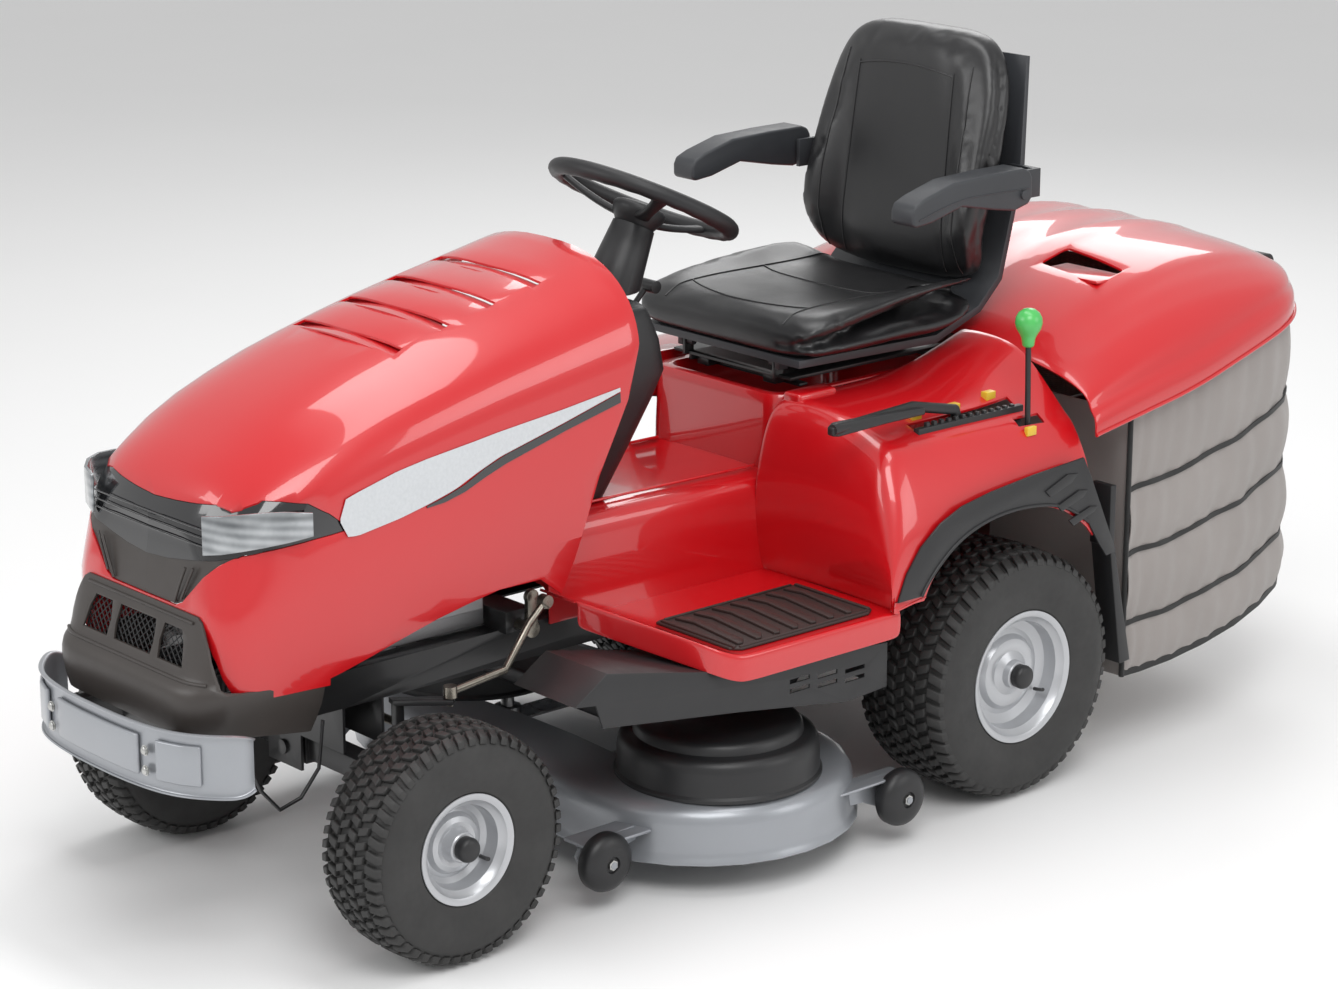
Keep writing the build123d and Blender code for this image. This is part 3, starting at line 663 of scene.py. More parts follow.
def bonnet():
    shell = wall(hood_surface("bonnet", 4.0), 4.0, 1.0)
    smooth(shell, 60)
    cut(shell, joint_block("joint cut", -20, False))
    low = [(-930, 300), (-930, 441), (-900, 449), (-809, 476), (-734, 497), (-672, 510), (-615, 520),
           (-533, 520),
           (-476, 476), (-300, 476), (-300, 300)]
    cut(shell, prism("lower cut", low, "X", -320, 320))
    rear = [(-150, 1100), (-313, 1012), (-321, 868), (-349, 781), (-412, 669), (-464, 539), (-500, 466),
            (-480, 300),
            (-150, 300)]
    cut(shell, prism("rear cut", rear, "X", -320, 320))
    cut(shell, nose_cutter("band cut", grow=1.2))
    cut(shell, prism("panel cut", PANEL, "Y", -1140, -1040))
    # curved louvre recesses across the crown
    for y in LOUVRES:
        path = [(x, y - 26 * math.cos(x / 120.0)) for x in range(-132, 133, 24)]
        top = [1100] * len(path)
        floor = [lerp(CROWN, y)[0] - 9 - 15 * (x / 132.0) ** 2 for x, _ in path]
        cut(shell, ribbon("louvre", path, floor, top, -9, 13))
    # dark floors under the louvres
    floors = []
    for y in LOUVRES:
        path = [(x, y - 26 * math.cos(x / 120.0)) for x in range(-134, 135, 24)]
        floor = [lerp(CROWN, y)[0] - 8.5 - 15 * (x / 132.0) ** 2 for x, _ in path]
        floors.append(ribbon("louvre floor", path, [z - 3 for z in floor], floor, -12, 17))
    dress(join("louvre_floors", floors), "red", "hood")
    modify(shell, "BEVEL", width=0.0011, segments=2, limit_method="ANGLE", angle_limit=math.radians(50))
    dress(shell, "red", "hood", ["hood_shell"], 35)


# (y, lower edge, upper edge) of the films on the bonnet's side
SILVER = [(-908, 684, 690), (-900, 661, 717), (-880, 659, 724), (-803, 672, 745), (-748, 685, 755),
          (-699, 699, 762),
          (-660, 716, 767), (-611, 735, 774), (-480, 768, 789), (-366, 798, 804)]
DARK = [(-752, 679, 682), (-720, 682, 690), (-680, 692, 703), (-640, 708, 722), (-600, 722, 736),
        (-480, 754, 766),
        (-366, 780, 796)]


def film(name, table, look, side, lift):
    rows = []
    first, last = table[0][0], table[-1][0]
    for k in range(49):
        y = first + (last - first) * k / 48.0
        low, high = lerp(table, y)
        half = hood_row(y)
        rows.append([(side * (outline_x(half, low + (high - low) * j / 5.0) + lift), y,
                      low + (high - low) * j / 5.0)
                     for j in range(6)])
    skin = sheet(name, rows)
    if skin.data.polygons[0].normal.x * side < 0:
        turn_over(skin)
    wall(skin, 1.0, 0.0)
    dress(skin, look, "hood")


def stripe():
    """The tapering films on each side of the bonnet."""
    for side, label in SIDES:
        film("side_stripe_" + label, SILVER, "stripe", side, 1.6)
        film("side_stripe_under_" + label, DARK, "band", side, 1.5)


def outline_x(points, z):
    for (xa, za), (xb, zb) in zip(points, points[1:]):
        if za <= z <= zb:
            return xa + (xb - xa) * (z - za) / max(0.001, zb - za)
    return points[0][0]


def light_band():
    band = wall(hood_surface("light_band", 5.5), 4.0, 1.0)
    cut(band, nose_cutter("band area"), "INTERSECT")
    dress(band, "band", "hood", ["light_band"], 50)
    path = nose_path()
    # bright fluted lens at each end, with a light strip round it
    for side, label in SIDES:
        part = path[2:8] if side > 0 else [(-x, y) for x, y in path[2:8]][::-1]
        span = list(range(2, 8)) if side > 0 else list(range(7, 1, -1))
        low = [BAND_LOW[k] + 9 for k in span]
        high = [max(BAND_TOP[k] - 9, BAND_LOW[k] + 11) for k in span]
        lens = ribbon("headlamp_lens_" + label, part, low, high, -6, -0.4)
        modify(lens, "BEVEL", width=0.0012, segments=2, limit_method="ANGLE")
        dress(lens, "lens", "hood")
        edge = [(x, y, z) for (x, y), z in zip(part[1:], low[1:])]
        strip = tube("headlamp_strip_" + label, [(x * 1.006, y - 1.0, z + 4) for x, y, z in edge], 2.6)
        dress(strip, "glow", "hood")
    for k in range(3):
        z = 662 + 13 * k
        rail = tube("band_rail_%d" % k, [(x, y - 1.2, z) for x, y in path[7:14]], 1.1)
        dress(rail, "band", "hood")


def grille_panel():
    outline = [(x * 0.99, 606 + (z - 606) * 0.985) for x, z in PANEL]
    shell = wall(hood_surface("grille_panel", 7.0), 4.0, 1.0)
    cut(shell, prism("panel area", outline, "Y", -1140, -1040), "INTERSECT")
    cut(shell, nose_cutter("band gap", grow=0.6))
    dress(shell, "fairing", "hood", ["hood_grille_panel"], 40)
    ribs = []
    for side in (1, -1):
        ribs.append(tube("rib", [(side * 84, -1106, 564), (side * 99, -1106, 596), (side * 114, -1104, 624)],
                         2.4))
        ribs.append(tube("rib", [(side * 101, -1105, 572), (side * 116, -1104, 600),
                                 (side * 131, -1101, 626)], 2.2))
    dress(join("grille_ribs", ribs), "fairing", "hood")


# (height, half width at the back, back y, corner half width, corner y, nose half width, nose y)
FAIRING = [(346, 200, -948, 188, -1080, 126, -1146), (372, 210, -942, 198, -1084, 132, -1152),
           (400, 222, -939, 208, -1086, 138, -1156), (430, 230, -937, 215, -1087, 142, -1158),
           (446, 230, -937, 215, -1087, 141, -1156), (456, 229, -938, 214, -1086, 140, -1149),
           (463, 228, -940, 213, -1086, 139, -1139), (474, 228, -944, 212, -1086, 139, -1134),
           (520, 225, -975, 209, -1087, 142, -1120), (560, 222, -1000, 206, -1088, 146, -1109)]


def fairing_row(z):
    back, back_y, corner, corner_y, nose, nose_y = lerp(FAIRING, z)
    right = []
    for k in range(7):
        t = k / 6.0
        right.append((back + (corner - back) * t ** 1.4, back_y + (corner_y - back_y) * t))
    for k in range(1, 7):
        a = math.pi / 2 * k / 6.0
        right.append((corner - (corner - nose) * (1 - math.cos(a)),
                      corner_y + (nose_y - corner_y) * math.sin(a)))
    for k in range(1, 6):
        right.append((nose * (1 - k / 5.0), nose_y))
    return mirror_line([(x, y, z) for x, y in right])


def fairing_surface(name):
    heights = [346, 352, 372, 400, 425, 440, 448, 454, 459, 464, 470, 478, 492, 506, 520, 534, 548, 562]
    obj = sheet(name, [fairing_row(z) for z in heights])
    return outward(obj, 0.000001)


def fairing():
    shell = wall(fairing_surface("nose_fairing"), 4.0)
    cut(shell, prism("fairing low", [(-1250, 300), (-1250, 382), (-1150, 380), (-930, 349), (-930, 300)],
                     "X", -260,
                     260))
    cut(shell, joint_block("fairing high", 0.0, True))
    windows = [[(-50, 478), (50, 478), (53, 500), (49, 531), (-49, 531), (-53, 500)],
               [(70, 478), (137, 478), (129, 512), (119, 531), (72, 531), (67, 504)],
               [(-70, 478), (-67, 504), (-72, 531), (-119, 531), (-129, 512), (-137, 478)]]
    for outline in windows:
        cut(shell, prism("window", outline, "Y", -1200, -1090))
    modify(shell, "BEVEL", width=0.0014, segments=2, limit_method="ANGLE", angle_limit=math.radians(45))
    dress(shell, "fairing", "hood", ["front_fairing"], 40)
    # diamond lattice behind the windows
    clear_selection()
    bpy.ops.mesh.primitive_grid_add(x_subdivisions=20, y_subdivisions=5, size=1)
    lattice = bpy.context.object
    lattice.name = "fairing_lattice"
    for vertex in lattice.data.vertices:
        u, v = vertex.co.x, vertex.co.y
        vertex.co = (u * 0.284, -1.119 + v * 0.016 + abs(u) * 0.010, 0.504 + v * 0.066)
    active(lattice)
    bpy.ops.object.mode_set(mode="EDIT")
    bpy.ops.mesh.select_all(action="SELECT")
    bpy.ops.mesh.poke()
    bpy.ops.mesh.tris_convert_to_quads(face_threshold=3.1, shape_threshold=3.1)
    bpy.ops.object.mode_set(mode="OBJECT")
    modify(lattice, "WIREFRAME", thickness=0.0024, use_replace=True)
    dress(lattice, "black_plastic", "hood", (), 30)
    for z, radius, end in ((546, 2.4, 12), (462, 3.0, 9)):
        lip = tube("fairing_ledge_%d" % z, [(x, y - 0.6, z) for x, y, _ in fairing_row(z)[end:-end]], radius)
        dress(lip, "fairing", "hood")


# ------------------------------------------------------------------ bumper
def bumper():
    path = [(262, -1092), (263, -1106), (257, -1122), (243, -1138), (222, -1157), (195, -1175), (160, -1188),
            (120, -1195), (80, -1199), (40, -1201), (0, -1201)]
    path = mirror_line(path)
    count = len(path)
    # rolled section: back edge, top roll, face with a shallow groove, bottom roll
    section = [(-7, 301), (-2, 299), (2, 302), (3.4, 309), (3.8, 318), (3.8, 330), (3.8, 350), (3.8, 372),
               (3.8, 386),
               (3.4, 395), (2, 401), (-2, 403), (-7, 401)]
    rows = []
    for k, (x, y) in enumerate(path):
        nx, ny = sideways(path, k)
        end = min(k, count - 1 - k)
        squeeze = {0: 0.80, 1: 0.93}.get(end, 1.0)
        rows.append([(x + nx * s, y + ny * s, 351 + (z - 351) * squeeze) for s, z in section])
    bar = sheet("bumper_bar", rows)
    modify(bar, "SUBSURF", levels=2, render_levels=2)
    outward(bar, 0.000001)
    # keep the face pointing forward before giving it thickness
    lead = min(bar.data.polygons, key=lambda p: p.center.y)
    if lead.normal.y > 0:
        turn_over(bar)
    wall(bar, 2.6)
    # raised pad at each end and a long one between, pressed in the face
    pads = []
    for low, high in ((-222, -150), (-112, 112), (150, 222)):
        steps = 14
        spots = []
        for k in range(steps + 1):
            x = low + (high - low) * k / steps
            y = lerp(sorted((px, py) for px, py in path), x)[0]
            spots.append((x, y - 3.6))
        spots = spots[::-1]
        pads.append(ribbon("pad", spots, [319] * len(spots), [383] * len(spots), -2, 4.2))
    for pad in pads:
        modify(pad, "BEVEL", width=0.0034, segments=3, limit_method="ANGLE", angle_limit=math.radians(50))
    whole = join("front_bumper_bar", [bar] + pads)
    dress(whole, "bumper", "chassis", ["front_bumper"], 40)
    bolts = []
    for x in (-131, 131):
        for z in (330, 362):
            head = turned("head", [(-5.2, 0.0), (-5.2, 4.2), (-3.4, 6.4), (-0.8, 6.6), (-0.8, 8.4),
                                   (0.6, 8.4),
                                   (0.6, 0)], (x, -1199, z), "Y", 24)
            bolts.append(head)
    dress(join("bumper_bolt_heads", bolts), "zinc", "chassis", ["bumper_bolts"])


# ------------------------------------------------------------------ wheels
def carcass(name, radius, width, bead, half, centre):
    h = width / 2
    profile = [(-half + 1, bead + 1), (-half - 1.5, bead + 9), (-half - 5, bead + 12), (-half - 6, bead + 17),
               (-h + 6, bead + 26), (-h + 1.5, bead + (radius - bead) * 0.42),
               (-h, bead + (radius - bead) * 0.58),
               (-h + 2.5, radius - 30), (-h + 9, radius - 17), (-h * 0.72, radius - 11),
               (-h * 0.3, radius - 8.5),
               (0, radius - 8)]
    return turned(name, mirror_line(profile), centre, "X", 96)


def tread(name, radius, centre, count, rows):
    """Staggered blocks; a row is (across, width, length, twist, phase, drop at the shoulder)."""
    clear_selection()
    mesh = bpy.data.meshes.new(name)
    shape = bmesh.new()
    for across, wide, around, twist, phase, drop in rows:
        for k in range(count):
            base = 2 * math.pi * (k + phase) / count
            corners = []
            for top in (0, 1):
                for sx, sa in ((-1, -1), (1, -1), (1, 1), (-1, 1)):
                    shrink = 0.86 if top else 1.0
                    x = across + sx * wide / 2 * shrink
                    a = base + (sa * around / 2 * shrink + twist * sx) / radius
                    slope = drop * (sx * (1 if across > 0 else -1) if abs(across) > 1 else 0)
                    r = (radius - 0.3 - max(0.0, slope) - (0 if top else 11.5)) - drop * 0.35
                    corners.append(shape.verts.new(((centre[0] + x) * MM, (centre[1] + r * math.sin(a)) * MM,
                                                    (centre[2] + r * math.cos(a)) * MM)))
            for face in ((0, 3, 2, 1), (4, 5, 6, 7), (0, 1, 5, 4), (1, 2, 6, 5), (2, 3, 7, 6), (3, 0, 4, 7)):
                shape.faces.new([corners[i] for i in face])
    bmesh.ops.recalc_face_normals(shape, faces=shape.faces[:])
    shape.to_mesh(mesh)
    shape.free()
    obj = bpy.data.objects.new(name, mesh)
    bpy.context.scene.collection.objects.link(obj)
    modify(obj, "BEVEL", width=0.0011, segments=1, limit_method="ANGLE")
    return obj


def rim(name, bead, b, centre, side, cap):
    """Dished rim and its cap; b is half the distance between the beads."""
    profile = [(-b - 5, bead + 8.6), (-b - 4, bead + 9), (-b, bead + 7), (-b + 1, bead - 1),
               (b - 26, bead - 3),
               (b - 22, bead - 9), (b - 10, bead - 9), (b - 6, bead - 1), (b - 2, bead + 1), (b, bead + 7),
               (b + 3.6, bead + 9), (b + 5, bead + 8.4), (b + 5, bead + 5), (b + 2, bead - 2),
               (b - 3, bead - 5),
               (b - 9, bead - 12), (b - 24, bead - 13), (b - 32, bead - 16), (b - 38, bead * 0.70),
               (b - 36, bead * 0.62), (b - 27, bead * 0.55), (b - 24, bead * 0.45), (b - 26, bead * 0.36),
               (b - 20, 25), (b - 8, 24), (b - 6, 22), (b - 6, 13)]
    dish = turned(name, profile, centre, "X", 72, side)
    holder = [(b - 8, 12), (b - 8, cap - 1), (b + 6, cap), (b + 11, cap - 2), (b + 14, cap - 6), (b + 15, 0)]
    hub = turned(name + "_cap", [(x, r) for x, r in holder], centre, "X", 40, side)
    return dish, hub


def wheel(place, label, side, radius, bead, half, centre, cap, tyre, count, rows):
    tag = place + "_" + label
    body = place + "_wheel_" + label
    blocks = tread("tread_" + tag, radius, centre, count, rows)
    whole = join("tyre_" + tag, [tyre, blocks])
    dress(whole, "tyre", body, [place + "_tyre_" + label], 38)
    dish, hub = rim("rim_" + tag, bead, half, centre, side, cap)
    x, y, z = centre
    stem = tube("valve", [(x + side * (half - 30), y + bead * 0.62, z - bead * 0.42),
                          (x + side * (half - 12), y + bead * 0.60, z - bead * 0.40),
                          (x + side * half, y + bead * 0.52, z - bead * 0.34)], 3.2)
    dress(stem, "black_plastic", body)
    stem.name = "valve_stem_" + tag
    dress(dish, "wheel", body, [place + "_rim_" + label], 32)
    dress(hub, "black_plastic", body, (), 40)


FRONT_TREAD = ((-58, 22, 15.5, 3, 0.0, 7.0), (-33, 21, 14.5, -3, 0.5, 1.5), (-11, 19, 14.0, 3, 0.0, 0.0),
               (11, 19, 14.0, -3, 0.5, 0.0), (33, 21, 14.5, 3, 0.0, 1.5), (58, 22, 15.5, -3, 0.5, 7.0))
REAR_TREAD = ((-84, 26, 19, 4, 0.0, 9.0), (-57, 22, 18, -4, 0.5, 3.0), (-33, 21, 17, 4, 0.0, 1.0),
              (-11, 20, 17, -4, 0.5, 0.0), (11, 20, 17, 4, 0.0, 0.0), (33, 21, 17, -4, 0.5, 1.0),
              (57, 22, 18, 4, 0.0, 3.0), (84, 26, 19, -4, 0.5, 9.0))
# place, outside radius, width, bead radius, half bead distance, centre on the left, cap radius, tread
WHEELS = (("front", 189, 146, 80, 58, (359, -817, 189), 20, FRONT_TREAD),
          ("rear", 220, 204, 108, 88, (393, 337, 220), 21, REAR_TREAD))
BLOCKS_ROUND = 52


def wheels():
    for place, radius, width, bead, half, (x, y, z), cap, rows in WHEELS:
        for side, label in SIDES:
            centre = (side * x, y, z)
            tyre = carcass("tyre_" + place + "_" + label, radius, width, bead, half, centre)
            wheel(place, label, side, radius, bead, half, centre, cap, tyre, BLOCKS_ROUND, rows)


# ------------------------------------------------------------------ rear body
def fender_half():
    """Left mudguard: front wall, rounded top with its crease, and outer skirt."""
    rows = []
    outline = [(166, 640), (166, 694), (172, 702), (210, 705), (260, 704), (318, 696), (372, 681), (424, 664),
               (436, 656), (447, 643), (466, 612), (482, 576), (490, 548), (494, 536), (498, 500),
               (499, 455), (499, 415)]
    front = [(0.0, 30), (0.06, 24), (0.25, 16), (0.5, 16), (0.72, 26), (0.86, 38), (0.95, 52)]
    for share, y in front:
        rows.append([(x, y - 12 + 8 * math.sin(math.pi * min(1, (x - 166) / 333.0)), 407 + (z - 407) * share)
                     for x, z in outline])
    for y, drop in ((66, 1), (84, 0), (120, 0), (180, 0), (250, 0), (330, 2), (400, 6), (450, 10), (488, 14)):
        climb = 52.0 * max(0.0, (y - 300) / 190.0) ** 1.3
        row = []
        for x, z in outline:
            inner = held((420 - x) / 90.0)
            fall = drop * max(0.0, (z - 415) / 280.0) * (1 - inner)
            row.append((x, y, z - fall + (climb * inner if z > 660 else 0.0)))
        rows.append(row)
    obj = sheet("fender", rows)
    modify(obj, "SUBSURF", levels=2, render_levels=2)
    outward(obj, 0.000001)
    top = max(obj.data.polygons, key=lambda p: p.center.z)
    if top.normal.z < 0:
        turn_over(obj)
    wall(obj, 4.0)
    arch = []
    for k in range(21):
        a = math.radians(-14 + 198 * k / 20.0)
        arch.append((292 - 222 * math.cos(a), 372 + 158 * math.sin(a)))
    cut(obj, prism("arch", arch, "X", 410, 620))
    cut(obj, prism("long slot", slot_outline(392, 14, 150, 392), "Z", 600, 760))
    cut(obj, prism("knob slot", slot_outline(429, 9, 360, 424), "Z", 560, 760))
    return obj


def slot_outline(x, half, y0, y1):
    """Long slot with points along its sides, so that the curved panel cuts cleanly."""
    steps = 14
    along = [y0 + (y1 - y0) * k / steps for k in range(steps + 1)]
    return [(x + half, y) for y in along] + [(x - half, y) for y in reversed(along)]


def turn_over(obj):
    active(obj)
    bpy.ops.object.mode_set(mode="EDIT")
    bpy.ops.mesh.select_all(action="SELECT")
    bpy.ops.mesh.flip_normals()
    bpy.ops.object.mode_set(mode="OBJECT")


def face_up(obj):
    top = max(obj.data.polygons, key=lambda p: p.center.z)
    if top.normal.z < 0:
        turn_over(obj)
    return obj


def floor_half():
    """Left footrest with its toe board and hanging skirt."""
    stations = [(24, 499, 407), (0, 499, 407), (-120, 499, 407), (-250, 499, 407), (-312, 499, 407),
                (-330, 496, 409), (-350, 486, 416), (-372, 468, 427), (-410, 386, 445), (-440, 320, 459),
                (-458, 280, 468), (-466, 262, 471)]
    rows = []
    for y, edge, z in stations:
        inner = [165, 172, 200]
        span = edge - 200
        row = [(x, y, z) for x in inner] + [(200 + span * s, y, z) for s in (0.3, 0.6, 0.85)]
        row += [(edge - 10, y, z + 0.5), (edge - 3, y, z + 1), (edge, y, z - 5), (edge, y, z - 22),
                (edge - 1, y, z - 43)]
        rows.append(row)
    obj = sheet("footrest", rows)
    modify(obj, "SUBSURF", levels=2, render_levels=2)
    outward(obj, 0.000001)
    face_up(obj)
    return wall(obj, 4.0)


def tunnel_cover():
    rows = []
    for y, wide, z in ((-446, 158, 470), (-446, 158, 545), (-444, 158, 566), (-430, 158, 573),
                       (-380, 158, 574),
                       (-250, 160, 574), (-120, 162, 573), (-20, 164, 571), (30, 165, 570), (58, 166, 570)):
        half = [(wide + 9, 406), (wide + 8, 430), (wide + 6, 480), (wide + 3, 525), (wide, 552),
                (wide - 8, 568),
                (wide - 24, 574), (wide - 60, 576), (wide - 110, 577), (0, 577)]
        rows.append(mirror_line([(x, y, 406 + (w - 406) * (z - 406) / 171.0) for x, w in half]))
    obj = sheet("tunnel", rows)
    modify(obj, "SUBSURF", levels=2, render_levels=2)
    outward(obj, 0.000001)
    face_up(obj)
    return wall(obj, 4.0)


def seat_plinth():
    """Box under the seat, with a ledge and a soft step at the top."""
    outline = []
    for k in range(4):
        cx = (128, -128, -128, 128)[k]
        cy = (446, 446, 96, 96)[k]
        for j in range(7):
            a = math.radians(90 * k + 15 * j)
            outline.append((cx + 40 * math.cos(a), cy + 40 * math.sin(a)))
    rows = []
    for z, grow in ((556, 4), (600, 3), (650, 1), (680, 0), (692, -1), (699, -4), (700, -9), (699, -20),
                    (690, -23),
                    (660, -24)):
        rows.append([(x * (1 + grow / 168.0), 271 + (y - 271) * (1 + grow / 215.0), z) for x,
                     y in outline + outline[:1]])
    obj = sheet("plinth", rows)
    return outward(obj, 0.00001)


def rear_body():
    fender = fender_half()
    footrest = floor_half()
    parts = [fender, mirrored(fender, "fender b"), footrest, mirrored(footrest, "footrest b"), tunnel_cover(),
             seat_plinth()]
    for part in parts[4:]:
        smooth(part, 40)
    # soft ribs pressed along the tunnel and the step beside the seat
    for side in (1, -1):
        parts.append(tube("tunnel rib", [(side * 118, -420, 577), (side * 118, -300, 578),
                                         (side * 122, -100, 577),
                                         (side * 124, 40, 575)], 2.6))
        parts.append(block("step", *both(side, 172, 214), 60, 150, 640, 712, 7, 4))
    body = join("rear_body", parts)
    modify(body, "BEVEL", width=0.0012, segments=2, limit_method="ANGLE", angle_limit=math.radians(60))
    dress(body, "red", "chassis", ["fender_body"], 38)
    liners = []
    for side in (1, -1):
        liners.append(block("liner", *both(side, 374, 410), 146, 396, 640, 652, 2))
        liners.append(block("liner", *both(side, 414, 446), 352, 430, 575, 596, 2))
    dress(join("lever_slot_liners", liners), "black_plastic", "chassis")
    # ratchet teeth beside the long slot, and plain yellow setting marks
    teeth = []
    for k in range(13):
        y = 168 + 17 * k
        teeth.append(block("tooth", 401, 409, y, y + 8, 655, 684 - 0.018 * (y - 168), 1.2, 2))
    strip = block("strip", 399.5, 412, 146, 398, 655, 677, 1.2, 2)
    dress(join("slot_rack", teeth + [strip]), "black_plastic", "chassis")
    marks = []
    for x, y, wide, z in ((366, 170, 14, 690), (366, 262, 14, 690), (366, 348, 14, 697), (449, 366, 8, 648)):
        marks.append(block("mark", x - wide / 2, x + wide / 2, y, y + 22, z - 14, z + 1.2, 0.6, 2))
    dress(join("setting_marks", marks), "yellow", "chassis")


def mats():
    pads = []
    for side in (1, -1):
        outline = [(286, -322), (462, -322), (476, -306), (478, -28), (466, -10), (296, -10), (282, -26),
                   (282, -312)]
        base = prism("mat", [(side * x, y) for x, y in outline], "Z", 407.6, 413, 2.0, 3)
        pads.append(base)
        for k in range(7):
            y = -292 + 40 * k
            rib = [(300, y - 2), (300, y + 14), (330, y + 22), (452, y + 10), (464, y - 2), (462, y - 12),
                   (338, y + 6)]
            pads.append(prism("rib", [(side * x, w) for x, w in rib], "Z", 411, 417.5, 1.8, 2))
        for y0, y1 in ((-318, -311), (-22, -15)):
            pads.append(block("edge", *both(side, 292, 468), y0, y1, 411, 416.5, 1.5))
        for x in (288, 470):
            pads.append(block("edge", *both(side, x, x + 4), -308, -26, 411, 416.5,
                              1.5))
    dress(join("footrest_mats_ribbed", pads), "mat", "chassis", ["footrest_mats"])


def arch_trim():
    outer = [(14, 425), (34, 470), (66, 510), (110, 542), (160, 562), (230, 574), (330, 584), (455, 592),
             (474, 556),
             (545, 408), (520, 404)]
    inner = [(500, 430), (470, 476), (432, 504), (382, 523), (316, 532), (250, 531), (194, 520), (146, 500),
             (104, 468),
             (74, 436), (68, 425)]
    parts = []
    for side in (1, -1):
        low, high = both(side, 498.6, 503.6)
        parts.append(prism("trim", outer + inner, "X", low, high, 1.4))
        rim_line = [(side * 503, y, z) for y, z in inner[1:]]
        parts.append(tube("trim bead", rim_line, 3.2))
        for k in range(3):
            y, z = 392 + 30 * k, 560 - 31 * k
            bar = [(y - 34, z - 10), (y + 20, z + 11 - 3 * k), (y + 46 - 4 * k, z + 8 - 3 * k),
                   (y + 30, z - 6), (y - 22, z - 22)]
            low, high = both(side, 502, 507)
            parts.append(prism("trim blade", bar, "X", low, high, 1.5))
    dress(join("arch_trims", parts), "black_plastic", "chassis", ["wheel_arch_trims"])


# ------------------------------------------------------------------ steering wheel
def steering_wheel():
    axis = Vector((0, 0.4539905, 0.8910065))
    across = Vector((1, 0, 0))
    ahead = axis.cross(across)
    middle = Vector((0, -100, 1035))

    def at(r, angle, along):
        a = math.radians(angle)
        return middle + across * (r * math.cos(a)) + ahead * (r * math.sin(a)) + axis * along

    rows = []
    turns = 96
    for k in range(turns + 1):
        angle = 360.0 * k / turns
        ring = []
        for j in range(17):
            b = 2 * math.pi * j / 16
            swell = 14.6 + 0.5 * math.sin(math.radians(angle) * 3)
            # finger dents behind the rim
            if math.sin(b) < -0.4:
                swell -= 0.9 * (0.5 + 0.5 * math.cos(math.radians(angle) * 24))
            p = at(154 + swell * math.cos(b), angle, swell * math.sin(b))
            ring.append(tuple(p))
        rows.append(ring)
    grip = outward(sheet("grip", rows), 0.00001)
    parts = [grip]
    for angle in (210, 330, 90):
        spoke = []
        for k in range(9):
            t = k / 8.0
            r = 18 + 132 * t
            wide = 30 - 13 * math.sin(math.pi * t) * 0.9
            deep = 5.5
            drop = -34 + 34 * t ** 1.6
            turn = math.degrees(wide / 2 / max(r, 18))
            ring = []
            for s, h in ((-1, -1), (-1.15, 0), (-1, 1), (0, 1.35), (1, 1), (1.15, 0), (1, -1), (0, -1.2),
                         (-1, -1)):
                a = math.radians(angle)
                centre = at(r, angle, drop + deep * h)
                sideways = (ahead * math.cos(a) - across * math.sin(a)) * (wide / 2 * s)
                ring.append(tuple(centre + sideways))
            spoke.append(ring)
        piece = outward(sheet("spoke", spoke), 0.00001)
        modify(piece, "SUBSURF", levels=1, render_levels=1)
        parts.append(piece)
    hub = turned("hub", [(-58, 0), (-58, 27), (-46, 34), (-36, 40), (-26, 45), (-17, 46), (-12, 42),
                         (-9.5, 34),
                         (-9, 30), (-11, 29), (-9, 27), (-7, 16), (-6.5, 0)], (0, 0, 0), "Z", 56)
    turn = Matrix((across, ahead, axis)).transposed()
    for vertex in hub.data.vertices:
        vertex.co = turn @ vertex.co + middle * MM
    outward(hub, 0.00001)
    parts.append(hub)
    dress(join("steering_wheel_dished", parts), "soft_grip", "steering", ["steering_wheel"], 50)


def dash():
    """Black pod between the bonnet and the driver, wider at its shoulders."""
    rows = []
    for z, half, front, back in ((568, 112, -455, -268), (575, 116, -450, -262), (660, 132, -415, -215),
                                 (740, 146, -385, -172), (780, 150, -365, -152), (830, 143, -335, -160),
                                 (870, 134, -312, -176), (884, 128, -304, -181), (890, 118, -296, -188)):
        ring = []
        for k in range(33):
            a = 2 * math.pi * k / 32
            c, q = math.cos(a), math.sin(a)
            ring.append((half * squared(c, 0.45),
                         (front + back) / 2.0 + (back - front) / 2.0 * squared(q, 0.45), z))
        rows.append(ring)
    obj = sheet("dash_pod", rows)
    close_ends(obj)
    modify(obj, "BEVEL", width=0.0015, segments=2, limit_method="ANGLE", angle_limit=math.radians(50))
    dress(obj, "black_plastic", "chassis", ["dash_panel"], 50)
    bezel = block("dash_switch_panel", -60, 60, -196, -176, 812, 858, 5, 3)
    keys = [turned("ignition", [(0, 0), (0, 11), (4, 11), (5, 9), (5, 0)], (34, -175, 836), "Y", 24),
            turned("lamp switch", [(0, 0), (0, 8), (4, 8), (5, 6), (5, 0)], (-32, -175, 836), "Y", 20),
            block("key", 32, 36, -172, -150, 830, 842, 1.2, 2)]
    dress(join("dash_switch_panel", [bezel] + keys), "soft_grip", "chassis", (), 45)


